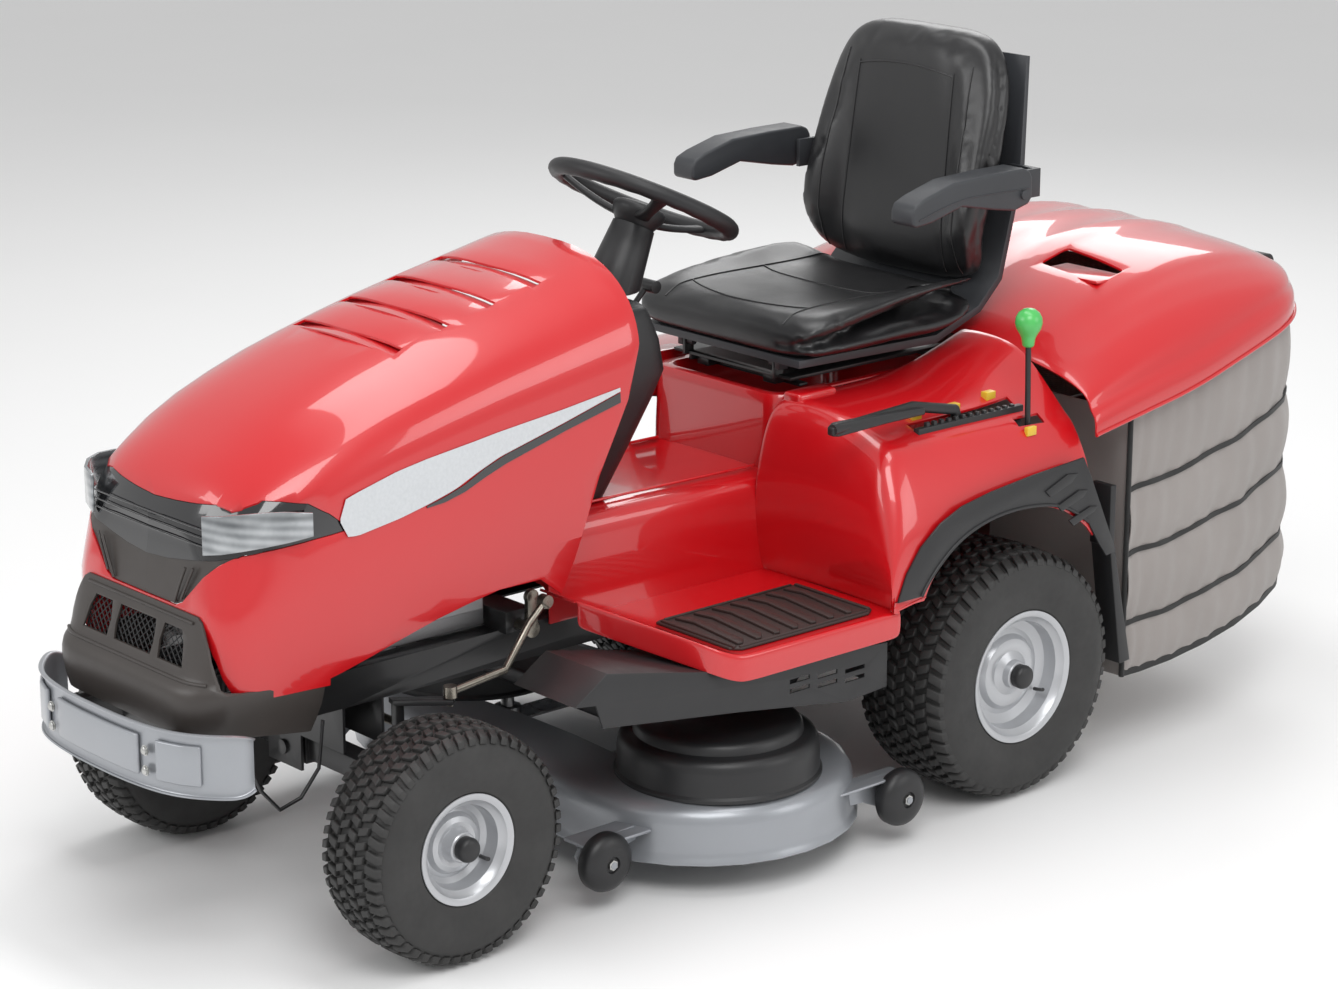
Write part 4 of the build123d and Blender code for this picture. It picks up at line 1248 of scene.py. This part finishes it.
# ------------------------------------------------------------------ seat
def cushion_shape(name, inset=0.0):
    rows = []
    around = 40
    # (y, top, bottom, half width, side lift)
    path = [(62, 794, 774, 150, 0), (65, 812, 768, 206, 2), (80, 825, 766, 226, 6), (115, 832, 766, 236, 12),
            (180, 833, 766, 240, 22), (250, 831, 767, 241, 33), (330, 828, 768, 242, 42),
            (400, 827, 770, 242, 46),
            (450, 829, 790, 238, 42), (476, 834, 806, 224, 34), (486, 830, 816, 170, 12)]
    for y, top, low, half, lift in path:
        half -= inset
        mid = (top + low) / 2.0
        ring = []
        for k in range(around + 1):
            a = 2 * math.pi * k / around
            c, s = math.cos(a), math.sin(a)
            x = half * squared(c, 0.55)
            share = min(1.0, abs(x) / 240.0)
            if s >= 0:
                z = mid + (top - mid - inset) * abs(s) ** 0.5 + lift * max(0.0, (share - 0.45) / 0.55) ** 1.6
                z -= 5.0 * math.exp(-((abs(x) - 140) / 9.0) ** 2) * (1 if 90 < y < 470 else 0)
            else:
                z = mid - (mid - low - inset) * abs(s) ** 0.5
            ring.append((x, y, z))
        rows.append(ring)
    first = [(0.3 * x, y + 1, z * 0.3 + 784 * 0.7) for x, y, z in rows[0]]
    last = [(0.3 * x, y + 1, z * 0.3 + 822 * 0.7) for x, y, z in rows[-1]]
    obj = sheet(name, [first] + rows + [last])
    close_ends(obj)
    return obj


def close_ends(obj, merge=0.00002):
    active(obj)
    bpy.ops.object.mode_set(mode="EDIT")
    bpy.ops.mesh.select_all(action="SELECT")
    bpy.ops.mesh.remove_doubles(threshold=merge)
    bpy.ops.mesh.select_all(action="DESELECT")
    bpy.ops.mesh.select_non_manifold()
    bpy.ops.mesh.edge_face_add()
    bpy.ops.mesh.select_all(action="SELECT")
    bpy.ops.mesh.normals_make_consistent(inside=False)
    bpy.ops.object.mode_set(mode="OBJECT")
    return obj


BACK = [(826, 506, 528, 120), (838, 494, 536, 176), (862, 484, 552, 200), (910, 486, 566, 208),
        (970, 492, 578, 211),
        (1030, 498, 590, 212), (1090, 504, 597, 211), (1150, 510, 602, 206), (1200, 516, 604, 196),
        (1236, 524, 604, 178), (1258, 536, 600, 150), (1268, 552, 592, 110)]


def back_shape(name):
    rows = []
    around = 44
    for z, near, far, half in BACK:
        mid = (near + far) / 2.0
        ring = []
        for k in range(around + 1):
            a = 2 * math.pi * k / around
            c, s = math.cos(a), math.sin(a)
            x = half * squared(c, 0.6)
            share = abs(x) / 212.0
            wing = 62 * held((z - 835) / 60.0) * held((1225 - z) / 240.0)
            push = wing * max(0.0, (share - 0.52) / 0.48) ** 1.4
            if s < 0:
                y = mid - (mid - near) * abs(s) ** 0.55 - push
                groove = 5.0 if 850 < z < 1225 else 0.0
                y += groove * math.exp(-((abs(x) - 128 + 0.03 * (z - 850)) / 8.0) ** 2)
            else:
                y = mid + (far - mid) * abs(s) ** 0.55 - push * 0.75
            ring.append((x, y, z))
        rows.append(ring)
    first = [(0.4 * x, 517 + 0.4 * (y - 517), z - 3) for x, y, z in rows[0]]
    last = [(0.4 * x, 570 + 0.4 * (y - 570), z + 2) for x, y, z in rows[-1]]
    obj = sheet(name, [first] + rows + [last])
    close_ends(obj)
    return obj


VOXEL = 0.006
PRESSURE = 4.0
LAST_STEP = 20
PAD_CAP = 5


def filled(obj, cap):
    """Swell a pad with a short cloth run, held within cap millimetres of where it began."""
    modify(obj, "SUBSURF", levels=2, render_levels=2)
    modify(obj, "REMESH", mode="VOXEL", voxel_size=VOXEL)
    start = [vertex.co.copy() for vertex in obj.data.vertices]
    active(obj)
    cloth = obj.modifiers.new("filling", "CLOTH")
    cloth.settings.use_pressure = True
    cloth.settings.uniform_pressure_force = PRESSURE
    cloth.settings.effector_weights.gravity = 0.0
    cloth.settings.tension_stiffness = 20
    cloth.settings.compression_stiffness = 20
    cloth.settings.shear_stiffness = 8
    cloth.settings.bending_stiffness = 4
    cloth.settings.quality = 5
    cloth.point_cache.frame_start = 1
    cloth.point_cache.frame_end = LAST_STEP
    for step in range(1, LAST_STEP + 1):
        bpy.context.scene.frame_set(step)
    active(obj)
    bpy.ops.object.modifier_apply(modifier=cloth.name)
    bpy.context.scene.frame_set(1)
    for vertex, home in zip(obj.data.vertices, start):
        move = vertex.co - home
        if move.length > cap * MM:
            vertex.co = home + move * (cap * MM / move.length)
    modify(obj, "SMOOTH", factor=0.5, iterations=6)
    return obj


def seam(pad, name, points, towards, radius=1.6):
    """Piping whose points are dropped on to the pad along a direction."""
    bpy.context.view_layer.update()
    aim = Vector(towards)
    spots = []
    for p in points:
        start = Vector(p) * MM - aim * 0.25
        hit, place, _, _ = pad.ray_cast(start, aim)
        if hit:
            spots.append(tuple((place - aim * (radius * 0.2 * MM)) / MM))
    return tube(name, spots, radius)


def seat_seams(bottom, upright):
    down, back = (0, 0, -1), (0, 1, 0)
    lines = []
    for side in (1, -1):
        lines.append(seam(bottom, "seam", [(side * 150, y, 840) for y in range(80, 486, 12)], down))
        panel = [(side * (126 - 10 * (z - 860) / 340.0), 500, z) for z in range(846, 1196, 12)]
        lines.append(seam(upright, "seam", panel, back))
        edge = [(side * (168 - 14 * max(0, z - 1000) / 200.0), 500, z) for z in range(850, 1215, 12)]
        lines.append(seam(upright, "seam", edge, back))
    lines.append(seam(bottom, "seam", [(x, 112 + 0.0014 * x * x, 840) for x in range(-150, 151, 10)], down))
    lines.append(seam(bottom, "seam", [(x, 300 + 0.0006 * x * x, 840) for x in range(-150, 151, 10)], down))
    lines.append(seam(upright, "seam", [(x, 500, 1200 - 0.0009 * x * x) for x in range(-116, 117, 8)], back))
    dress(join("seat_seams", lines), "vinyl", "seat", (), 60)


def seat_pads():
    bottom = filled(cushion_shape("seat_cushion_padded"), PAD_CAP)
    dress(bottom, "vinyl", "seat", ["seat_cushion"], 60)
    upright = filled(back_shape("seat_back_padded"), PAD_CAP)
    dress(upright, "vinyl", "seat", ["seat_back"], 60)
    seat_seams(bottom, upright)


def armrests():
    profile = [(232, 992), (232, 1012), (238, 1024), (262, 1034), (330, 1052), (420, 1055.5), (500, 1056),
               (515, 1050),
               (522, 1038), (522, 1002), (514, 992), (480, 984), (430, 992), (350, 1008), (280, 990),
               (240, 986)]
    for side, label in SIDES:
        low, high = both(side, 250, 304)
        pad = prism("armrest", profile, "X", low, high, 8.0, 4)
        dress(pad, "armrest", "armrest_" + label, ["armrest_" + label], 50)
        pad.name = "armrest_pad_" + label
        line = tube("armrest_parting_" + label, [(side * 304.2, y, z) for y,
                                                 z in ((246, 998), (330, 1022), (420, 1022),
                                                                                  (512, 1020))], 1.1)
        dress(line, "armrest", "armrest_" + label)


def coil_springs():
    coils = []
    for side in (1, -1):
        points = []
        turns = 3.0
        for k in range(61):
            t = k / 60.0
            a = 2 * math.pi * turns * t
            points.append((side * 95 + 24 * math.cos(a), 400 + 24 * math.sin(a), 725.5 + 16.5 * t))
        coils.append(tube("coil", points, 2.2, 4))
    dress(join("seat_springs", coils), "steel", "seat_slide")


# ------------------------------------------------------------------ levers
def levers():
    grip = prism("grip", [(40, 722), (-52, 724), (-62, 718), (-62, 704), (-48, 701), (60, 704), (150, 704),
                          (150, 716)],
                 "X", 408, 424, 3.5, 3)
    dress(grip, "black_plastic", "height_lever")
    grip.name = "height_lever_grip"
    from_frame("height_lever", "black_plastic", 0)
    rod = tube("mulch rod", [(429, 392, 600), (429, 390, 690), (429, 387, 792)], 5)
    boss = turned("mulch boss", [(-10, 4.2), (-10, 10), (7, 10), (7, 4.2)], (429, 392, 600), "X", 24)
    stem = join("mulch_lever_rod", [rod, boss])
    dress(stem, "black_plastic", "mulch_lever", ["mulch_lever"])
    bulb = turned("mulch_lever_bulb", [(783, 0), (783, 8), (786, 10.5), (798, 12), (806, 16), (814, 21),
                                       (824, 23.6),
                                       (834, 22.4), (842, 18), (848, 10), (850, 0)], (429, 387, 0), "Z", 48)
    dress(bulb, "knob", "mulch_lever", (), 60)


# ------------------------------------------------------------------ deck
def lobe_outline(r, steps=14):
    points = []
    for k in range(steps + 1):
        a = math.radians(-90 + 180 * k / steps)
        points.append((262.5 + r * math.cos(a), -205 + r * math.sin(a)))
    points += [(140, -205 + r - 2), (0, -205 + r - 2), (-140, -205 + r - 2)]
    for k in range(steps + 1):
        a = math.radians(90 + 180 * k / steps)
        points.append((-262.5 + r * math.cos(a), -205 + r * math.sin(a)))
    points += [(-150, -205 - r + 6), (-60, -205 - r + 12), (60, -205 - r + 12), (150, -205 - r + 6)]
    return points + points[:1]


def deck():
    rows = []
    for r, z in ((110, 151), (190, 151), (222, 150), (236, 147), (246, 141), (252, 132), (255, 120),
                 (257, 96), (259, 76),
                 (261, 66), (264.5, 61), (265, 57), (262, 55), (258, 58), (256, 66), (253, 96), (250, 120),
                 (244, 136),
                 (232, 143), (190, 146), (110, 146)):
        rows.append([(x, y, z) for x, y in lobe_outline(r)])
    shell = sheet("deck", rows)
    outward(shell, 0.000005)
    cover = []
    for side in (1, -1):
        cover.append(prism("bracket", [(-562, 92), (-548, 112), (-440, 116), (-430, 92), (-470, 84),
                                       (-500, 62),
                                       (-545, 62)], "X", *both(side, 362, 370), 2.0))
        cover.append(block("bracket top", *both(side, 330, 396), -556, -428, 108, 114,
                           2.0))
        cover.append(turned("axle", [(-4, 0), (-4, 10), (3, 10), (3, 6), (46, 6), (46, 0)],
                            (side * 370, -522, 82), "X",
                            24, side))
        cover.append(prism("rear bracket", [(-120, 96), (-110, 118), (20, 120), (58, 100), (58, 64),
                                            (10, 62), (-30, 80),
                                            (-80, 84)], "X", *both(side, 468, 475),
                           2.0))
        cover.append(block("rear ledge", *both(side, 452, 496), -108, 52, 114, 119, 2.0))
        cover.append(turned("axle", [(-4, 0), (-4, 10), (3, 10), (3, 6), (46, 6), (46, 0)],
                            (side * 476, 32, 82), "X", 24,
                            side))
        cover.append(turned("spindle", [(136, 12), (136, 46), (150, 46), (170, 40), (180, 38), (180, 12),
                                        (136, 12)],
                            (side * 250, -205, 0), "Z", 40))
    whole = join("deck_shell_pressed", [shell] + cover)
    dress(whole, "deck", "deck", ["deck_shell"], 38)
    drums = []
    for side in (1, -1):
        drums.append(turned("drum", [(150.6, 164), (150.6, 172), (156, 172), (160, 168), (196, 167),
                                     (208, 165),
                                     (216, 160), (219, 152), (219.5, 146), (221, 141), (232, 139),
                                     (238, 134), (240.5, 126),
                                     (241, 90), (237, 60), (237, 0), (233, 0), (233, 60), (236, 124),
                                     (228, 134),
                                     (214, 138), (213, 150), (206, 160), (150.6, 164)],
                                     (side * 330, -225, 0), "Z", 72))
    drums.append(block("bridge", -200, 200, -320, -150, 205, 236, 8, 3))
    dress(join("belt_covers_stepped", drums), "black_plastic", "deck", ["belt_covers"], 38)


def ground_wheels():
    for tag, x, y in (("front_left", 395, -522), ("front_right", -395, -522), ("rear_left", 500, 32),
                      ("rear_right", -500, 32)):
        side = 1 if x > 0 else -1
        roller = turned("scalp_roller_" + tag, [(-19, 6.3), (-19, 38), (-17, 44), (-11, 48.6), (2, 49),
                                                (9, 46), (14, 40),
                                                (17.5, 31), (19, 20), (19, 14), (15, 12), (15, 6.3)],
                                                (x, y, 82), "X", 56,
                        side)
        dress(roller, "black_plastic", "scalp_" + tag, ["scalp_wheel_" + tag], 50)
        head = turned("scalp_bolt_" + tag, [(14, 0), (14, 9), (19.5, 9), (20.5, 6), (20.5, 0)], (x, y, 82),
                      "X", 6, side)
        dress(head, "zinc", "scalp_" + tag, (), 30)


# ------------------------------------------------------------------ collector
COVER = [(496, 492, 618, 652, 742), (505, 492, 620, 656, 752), (560, 491, 628, 668, 786),
         (640, 489, 640, 684, 822),
         (720, 485, 650, 696, 850), (800, 480, 664, 706, 868), (880, 470, 680, 724, 874),
         (960, 458, 694, 740, 872),
         (1040, 444, 708, 752, 864), (1100, 424, 720, 760, 850), (1150, 386, 728, 765, 836),
         (1185, 345, 734, 768, 822),
         (1203, 312, 738, 768, 808)]


def cover_row(y, half, low, top, crown):
    points = [(half, low), (half + 1, low + (top - low) * 0.5), (half - 2, top), (half - 14, top + 10)]
    for k in range(1, 16):
        t = k / 15.0
        a = math.pi / 2 * t
        x = (half - 14) * math.cos(a) ** 0.85
        z = top + 10 + (crown - top - 10) * math.sin(a) ** 0.9
        points.append((x, z))
    return mirror_line([(x, y, z) for x, z in points])


def collector_cover():
    rows = [cover_row(*station) for station in COVER]
    obj = sheet("collector_cover", rows)
    modify(obj, "SUBSURF", levels=1, render_levels=1)
    outward(obj, 0.000001)
    face_up(obj)
    # raised strakes along the roof, pressed out of the skin
    for vertex in obj.data.vertices:
        x, y, z = (c / MM for c in vertex.co)
        if z > 735 and y > 520:
            lift = 0.0
            for centre in (-118, 0, 118):
                lift += 6.0 * math.exp(-(((x - centre) / 20.0) ** 2)) * held((y - 640) / 120.0)
            ledge = 5.0 * held((abs(x) - 330) / 14.0) * held((420 - abs(x)) / 20.0)
            vertex.co.z += (lift - ledge * 0.6) * held((1190 - y) / 90.0) * MM
    wall(obj, 4.0)
    cut(obj, block("grip dish", 160, 296, 704, 776, 826, 900, 8, 3))
    tray = [block("tray", 156, 300, 700, 780, 821, 827.5, 3, 2)]
    modify(obj, "BEVEL", width=0.0014, segments=2, limit_method="ANGLE", angle_limit=math.radians(50))
    lip = []
    for side in (1, -1):
        lip.append(tube("cover lip", [(side * (s[1] + 0.5), s[0], s[2] + 3) for s in COVER], 3.4))
    joined = join("collector_cover_hard", [obj] + tray + lip)
    dress(joined, "red", "bag", ["bag_cover"], 38)
    nub = prism("collector_rear_grip", [(1150, 786), (1150, 812), (1196, 806), (1203, 796), (1200, 784)],
                "X", 190, 292,
                5.0, 3)
    dress(nub, "black_plastic", "bag")


# (share of the way round, x, y, hem height, cover height), from the left front to the rear
BAG_PLAN = [(0.0, 462, 618, 152, 640), (0.06, 464, 660, 152, 648), (0.14, 465, 740, 156, 660),
            (0.22, 462, 830, 164, 676),
            (0.30, 452, 930, 176, 696), (0.37, 436, 1020, 192, 712), (0.42, 412, 1096, 208, 722),
            (0.455, 372, 1150, 216, 730), (0.48, 310, 1176, 220, 734), (0.50, 0, 1182, 222, 738)]


def wall_point(u, v):
    """Where the cloth wall stands: u runs round from the left front, v from hem to cover."""
    t = u if u <= 0.5 else 1.0 - u
    x, y, low, high = lerp(BAG_PLAN, t)
    x = x if u <= 0.5 else -x
    z = low + (high - low) * v
    return x, y, z


# length round the bag and height of its wall, in metres, for the weave
CLOTH_ROUND = 2.4
CLOTH_TALL = 0.55


def collector_cloth():
    columns, levels = 120, 40
    rows = []
    for j in range(levels + 1):
        v = j / levels
        row = []
        for i in range(columns + 1):
            u = i / columns
            x, y, z = wall_point(u, v)
            # cloth held by bands at three heights bellies between them
            belly = 0.0
            for low, high in ((0.0, 0.2), (0.2, 0.46), (0.46, 0.70), (0.70, 1.0)):
                if low <= v <= high:
                    belly = math.sin(math.pi * (v - low) / (high - low)) * (9.0 if high < 0.9 else 5.0)
            ripple = 2.6 * math.sin(u * 61 + v * 5) * math.sin(math.pi * v) + 1.6 * math.sin(u * 143 - v * 9)
            grow = 1 + (belly + ripple * 0.8) / 470.0
            sag = 5.0 * math.sin(math.pi * v) * math.sin(u * 37)
            row.append((x * grow, 616 + (y - 616) * grow, z + sag * 0.5))
        rows.append(row)
    obj = sheet("collector_cloth", rows)
    layer = obj.data.uv_layers.new(name="cloth")
    obj.data.uv_layers.active = layer
    count = columns + 1
    for polygon in obj.data.polygons:
        for index in polygon.loop_indices:
            vertex = obj.data.loops[index].vertex_index
            layer.data[index].uv = ((vertex % count) / columns * CLOTH_ROUND,
                                    (vertex // count) / levels * CLOTH_TALL)
    outward(obj, 0.000001)
    lead = max(obj.data.polygons, key=lambda p: p.center.x)
    if lead.normal.x < 0:
        turn_over(obj)
    wall(obj, 1.6)
    # floor and front of the bag, joined along the hem
    hem = [wall_point(u / 24.0, 0.0) for u in range(25)]
    base = []
    for t in (0.0, 0.35, 0.7, 1.0):
        pull = 1 - t * 0.98
        sag = 10 * math.sin(math.pi * t) * 0.4
        base.append([(x * pull, 616 + (y - 616) * pull, z + 1 - sag) for x, y, z in hem])
    bottom = wall(sheet("floor cloth", base), 1.6)
    front = prism("front cloth", [(-460, 152), (460, 152), (462, 636), (-462, 636)], "Y", 617, 619)
    cut(front, block("mouth", -135, 135, 600, 640, 335, 552, 0))
    whole = join("collector_cloth_bag", [obj, bottom, front])
    dress(whole, "cloth", "bag", ["bag_fabric"], 50)
    bands = []
    for v, wide in ((0.2, 9), (0.46, 9), (0.70, 9)):
        bands.append(band_round(v, wide))
    bands.append(band_round(0.012, 12))
    for side in (0.0, 1.0):
        points = [wall_point(side, v / 12.0) for v in range(13)]
        bands.append(tube("front binding", [(x * 1.004, y - 2, z) for x, y, z in points], 5.0))
    dress(join("collector_bands", bands), "webbing", "bag")


def band_round(v, wide):
    rows = []
    for i in range(121):
        u = i / 120.0
        x, y, z = wall_point(u, v)
        lift = 1 + (2.5 + 1.8 * math.sin(u * 61 + v * 5) * math.sin(math.pi * v)) / 470.0
        rows.append([(x * lift, 616 + (y - 616) * lift,
                      z + s * wide / 2 + 2.5 * math.sin(math.pi * v) * math.sin(u * 37))
                     for s in (-1, 1)])
    strap = sheet("band", rows)
    outward(strap, 0.000001)
    return wall(strap, 3.0, 0.0)


# ------------------------------------------------------------------ metalwork kept from the frame
PLAIN = [("chassis_frame", "chassis", "chassis_black", 1.0), ("frame_wire_loop", "chassis", "tube_black", 0),
         ("side_covers", "black_plastic", "black_plastic", 1.6), ("engine_block", "alloy", "engine_metal",
                                                                  3.0),
         ("engine_shroud", "black_plastic", "black_plastic", 5.0), ("muffler", "cast", "exhaust", 2.0),
         ("transaxle", "alloy", "cast_metal", 3.0), ("discharge_chute", "black_plastic", "black_plastic",
                                                     1.0),
         ("rear_posts", "black_plastic", "black_plastic", 5.0), ("seat_rails", "chassis", "chassis_black",
                                                                 0.8),
         ("seat_slide_plate", "chassis", "chassis_black", 0.6), ("seat_shell", "armrest", "seat_plastic",
                                                                 1.6),
         ("front_axle_beam", "chassis", "cast_metal", 2.0), ("knuckle_left", "chassis", "cast_metal", 1.6),
         ("knuckle_right", "chassis", "cast_metal", 1.6), ("tie_rod", "link", "link_steel", 0),
         ("drag_link", "link", "link_steel", 0), ("pitman_arm", "link", "link_steel", 0.8),
         ("half_shaft_left", "steel", "shaft_steel", 0), ("half_shaft_right", "steel", "shaft_steel", 0),
         ("steering_shaft", "chassis", "shaft_steel", 0),
         ("column_cover", "black_plastic", "black_plastic", 4.0), ("choke_knob", "black_plastic",
                                                                   "black_plastic", 1.0),
         ("drive_pedal", "mat", "mat_rubber", 1.2), ("blade_left", "steel", "blade_steel", 0.5),
         ("blade_right", "steel", "blade_steel", 0.5), ("bag_frame", "chassis", "tube_black", 1.5)]


def metalwork(names):
    for node, look, slot, width in PLAIN:
        if node in names:
            from_frame(node, look, width)


# ------------------------------------------------------------------ stage
# name, place, size and full power of each soft lamp, in metres and watts
LAMPS = (("key_soft", (3.6, -2.2, 4.6), (3.0, 2.4), 230), ("fill_left", (5.2, 2.6, 2.6), (2.4, 2.4), 90),
         ("front_soft", (-1.6, -5.2, 3.2), (3.6, 2.0), 150), ("top_strip", (0.2, 0.0, 4.4), (1.2, 4.0), 120),
         ("rear_rim", (-2.6, 3.6, 3.4), (2.4, 2.0), 90))
EYE = (4.3226, -3.8300, 2.1681)
AIM = Vector((0, -0.0431, 0.5120))
LENS_MM = 93.55
SENSOR_MM = 36.0


def stage():
    clear_selection()
    bpy.ops.mesh.primitive_plane_add(size=40, location=(0, 0, 0))
    ground = bpy.context.object
    ground.name = "stage_floor"
    ground.data.materials.append(finish("floor"))
    world = bpy.data.worlds.new("studio")
    bpy.context.scene.world = world
    world.use_nodes = True
    back = world.node_tree.nodes["Background"]
    back.inputs["Color"].default_value = (1.0, 1.0, 1.0, 1)
    back.inputs["Strength"].default_value = bpy.context.scene.mower_stage.sky
    for name, place, size, power in LAMPS:
        lamp = bpy.data.lights.new(name, "AREA")
        lamp.shape = "RECTANGLE"
        lamp.size, lamp.size_y = size
        lamp.energy = power * bpy.context.scene.mower_stage.lamps
        obj = bpy.data.objects.new(name, lamp)
        bpy.context.scene.collection.objects.link(obj)
        obj.location = place
        obj.rotation_euler = (Vector((0, 0, 0.5)) - Vector(place)).to_track_quat("-Z", "Y").to_euler()
    bpy.context.scene.view_settings.view_transform = "Standard"
    lens = bpy.data.cameras.new("camera")
    lens.lens = LENS_MM
    lens.sensor_width = SENSOR_MM
    lens.sensor_fit = "HORIZONTAL"
    lens.clip_end = 100
    eye = bpy.data.objects.new("camera", lens)
    bpy.context.scene.collection.objects.link(eye)
    eye.location = EYE
    eye.rotation_euler = (AIM - eye.location).to_track_quat("-Z", "Y").to_euler()
    bpy.context.scene.camera = eye


# ------------------------------------------------------------------ add-on
class MOWER_PG_colours(bpy.types.PropertyGroup):
    panel_red: bpy.props.FloatVectorProperty(name="Panel red",
                                             description="Paint of the bonnet and rear body",
                                             subtype="COLOR", size=3, min=0, max=1,
                                             default=(0.58, 0.004, 0.008))


class MOWER_PG_stage(bpy.types.PropertyGroup):
    sky: bpy.props.FloatProperty(name="Sky light", description="Strength of the plain studio surround",
                                 default=0.62,
                                 min=0.0, max=4.0)
    lamps: bpy.props.FloatProperty(name="Lamp power", description="Share of the soft lamps' full power",
                                   subtype="FACTOR",
                                   default=0.52, min=0.0, max=3.0)


class MOWER_OT_bonnet(bpy.types.Operator):
    """Make the bonnet, its louvres and side stripes"""
    bl_idname = "mower.bonnet"
    bl_label = "Bonnet"

    def execute(self, context):
        bonnet()
        stripe()
        return {"FINISHED"}


class MOWER_OT_nose(bpy.types.Operator):
    """Make the light band, the grille panel and the nose fairing"""
    bl_idname = "mower.nose"
    bl_label = "Nose"

    def execute(self, context):
        light_band()
        grille_panel()
        fairing()
        return {"FINISHED"}


class MOWER_OT_bumper(bpy.types.Operator):
    """Make the pressed bumper and its bolt heads"""
    bl_idname = "mower.bumper"
    bl_label = "Bumper"

    def execute(self, context):
        bumper()
        return {"FINISHED"}


class MOWER_OT_wheels(bpy.types.Operator):
    """Make the four wheels with their tread, rims and valves"""
    bl_idname = "mower.wheels"
    bl_label = "Wheels"

    def execute(self, context):
        wheels()
        return {"FINISHED"}


class MOWER_OT_rear_body(bpy.types.Operator):
    """Make the mudguards, footrests, tunnel, mats and arch trims"""
    bl_idname = "mower.rear_body"
    bl_label = "Rear body"

    def execute(self, context):
        rear_body()
        mats()
        arch_trim()
        return {"FINISHED"}


class MOWER_OT_controls(bpy.types.Operator):
    """Make the steering wheel, the dash and the levers"""
    bl_idname = "mower.controls"
    bl_label = "Controls"

    def execute(self, context):
        steering_wheel()
        dash()
        levers()
        metalwork(("steering_shaft", "column_cover", "choke_knob", "drive_pedal"))
        return {"FINISHED"}


class MOWER_OT_seat(bpy.types.Operator):
    """Make the padded seat, its shell, springs and armrests"""
    bl_idname = "mower.seat"
    bl_label = "Seat"

    def execute(self, context):
        seat_pads()
        armrests()
        coil_springs()
        metalwork(("seat_rails", "seat_slide_plate", "seat_shell"))
        return {"FINISHED"}


class MOWER_OT_deck(bpy.types.Operator):
    """Make the cutter deck, belt covers, blades and small ground wheels"""
    bl_idname = "mower.deck"
    bl_label = "Deck"

    def execute(self, context):
        deck()
        ground_wheels()
        metalwork(("blade_left", "blade_right", "discharge_chute"))
        return {"FINISHED"}


class MOWER_OT_collector(bpy.types.Operator):
    """Make the collector's hard cover, cloth bag and frame"""
    bl_idname = "mower.collector"
    bl_label = "Collector"

    def execute(self, context):
        collector_cover()
        collector_cloth()
        metalwork(("bag_frame",))
        return {"FINISHED"}


class MOWER_OT_running_gear(bpy.types.Operator):
    """Finish the chassis, engine, transaxle, axle and steering links"""
    bl_idname = "mower.running_gear"
    bl_label = "Running gear"

    def execute(self, context):
        metalwork(("chassis_frame", "frame_wire_loop", "side_covers", "engine_block", "engine_shroud",
                   "muffler",
                   "transaxle", "rear_posts", "front_axle_beam", "knuckle_left", "knuckle_right", "tie_rod",
                   "drag_link", "pitman_arm", "half_shaft_left", "half_shaft_right"))
        return {"FINISHED"}


class MOWER_OT_stage(bpy.types.Operator):
    """Set up the floor, the soft lamps and the camera"""
    bl_idname = "mower.stage"
    bl_label = "Stage"

    def execute(self, context):
        stage()
        return {"FINISHED"}


STEPS = (MOWER_OT_stage, MOWER_OT_bonnet, MOWER_OT_nose, MOWER_OT_bumper, MOWER_OT_wheels, MOWER_OT_rear_body,
         MOWER_OT_controls, MOWER_OT_seat, MOWER_OT_deck, MOWER_OT_collector, MOWER_OT_running_gear)


class MOWER_PT_panel(bpy.types.Panel):
    """Colours, stage light and the making steps"""
    bl_idname = "MOWER_PT_panel"
    bl_label = "Riding mower"
    bl_space_type = "VIEW_3D"
    bl_region_type = "UI"
    bl_category = "Mower"

    def draw(self, context):
        self.layout.prop(context.scene.mower_colours, "panel_red")
        self.layout.prop(context.scene.mower_stage, "sky")
        self.layout.prop(context.scene.mower_stage, "lamps")
        for step in STEPS:
            self.layout.operator(step.bl_idname)


CLASSES = (MOWER_PG_colours, MOWER_PG_stage) + STEPS + (MOWER_PT_panel,)


def register():
    for cls in CLASSES:
        bpy.utils.register_class(cls)
    bpy.types.Scene.mower_colours = bpy.props.PointerProperty(type=MOWER_PG_colours)
    bpy.types.Scene.mower_stage = bpy.props.PointerProperty(type=MOWER_PG_stage)


def unregister():
    del bpy.types.Scene.mower_stage
    del bpy.types.Scene.mower_colours
    for cls in reversed(CLASSES):
        bpy.utils.unregister_class(cls)


def main():
    register()
    for step in STEPS:
        group, name = step.bl_idname.split(".")
        getattr(getattr(bpy.ops, group), name)()


if __name__ == "__main__":
    main()
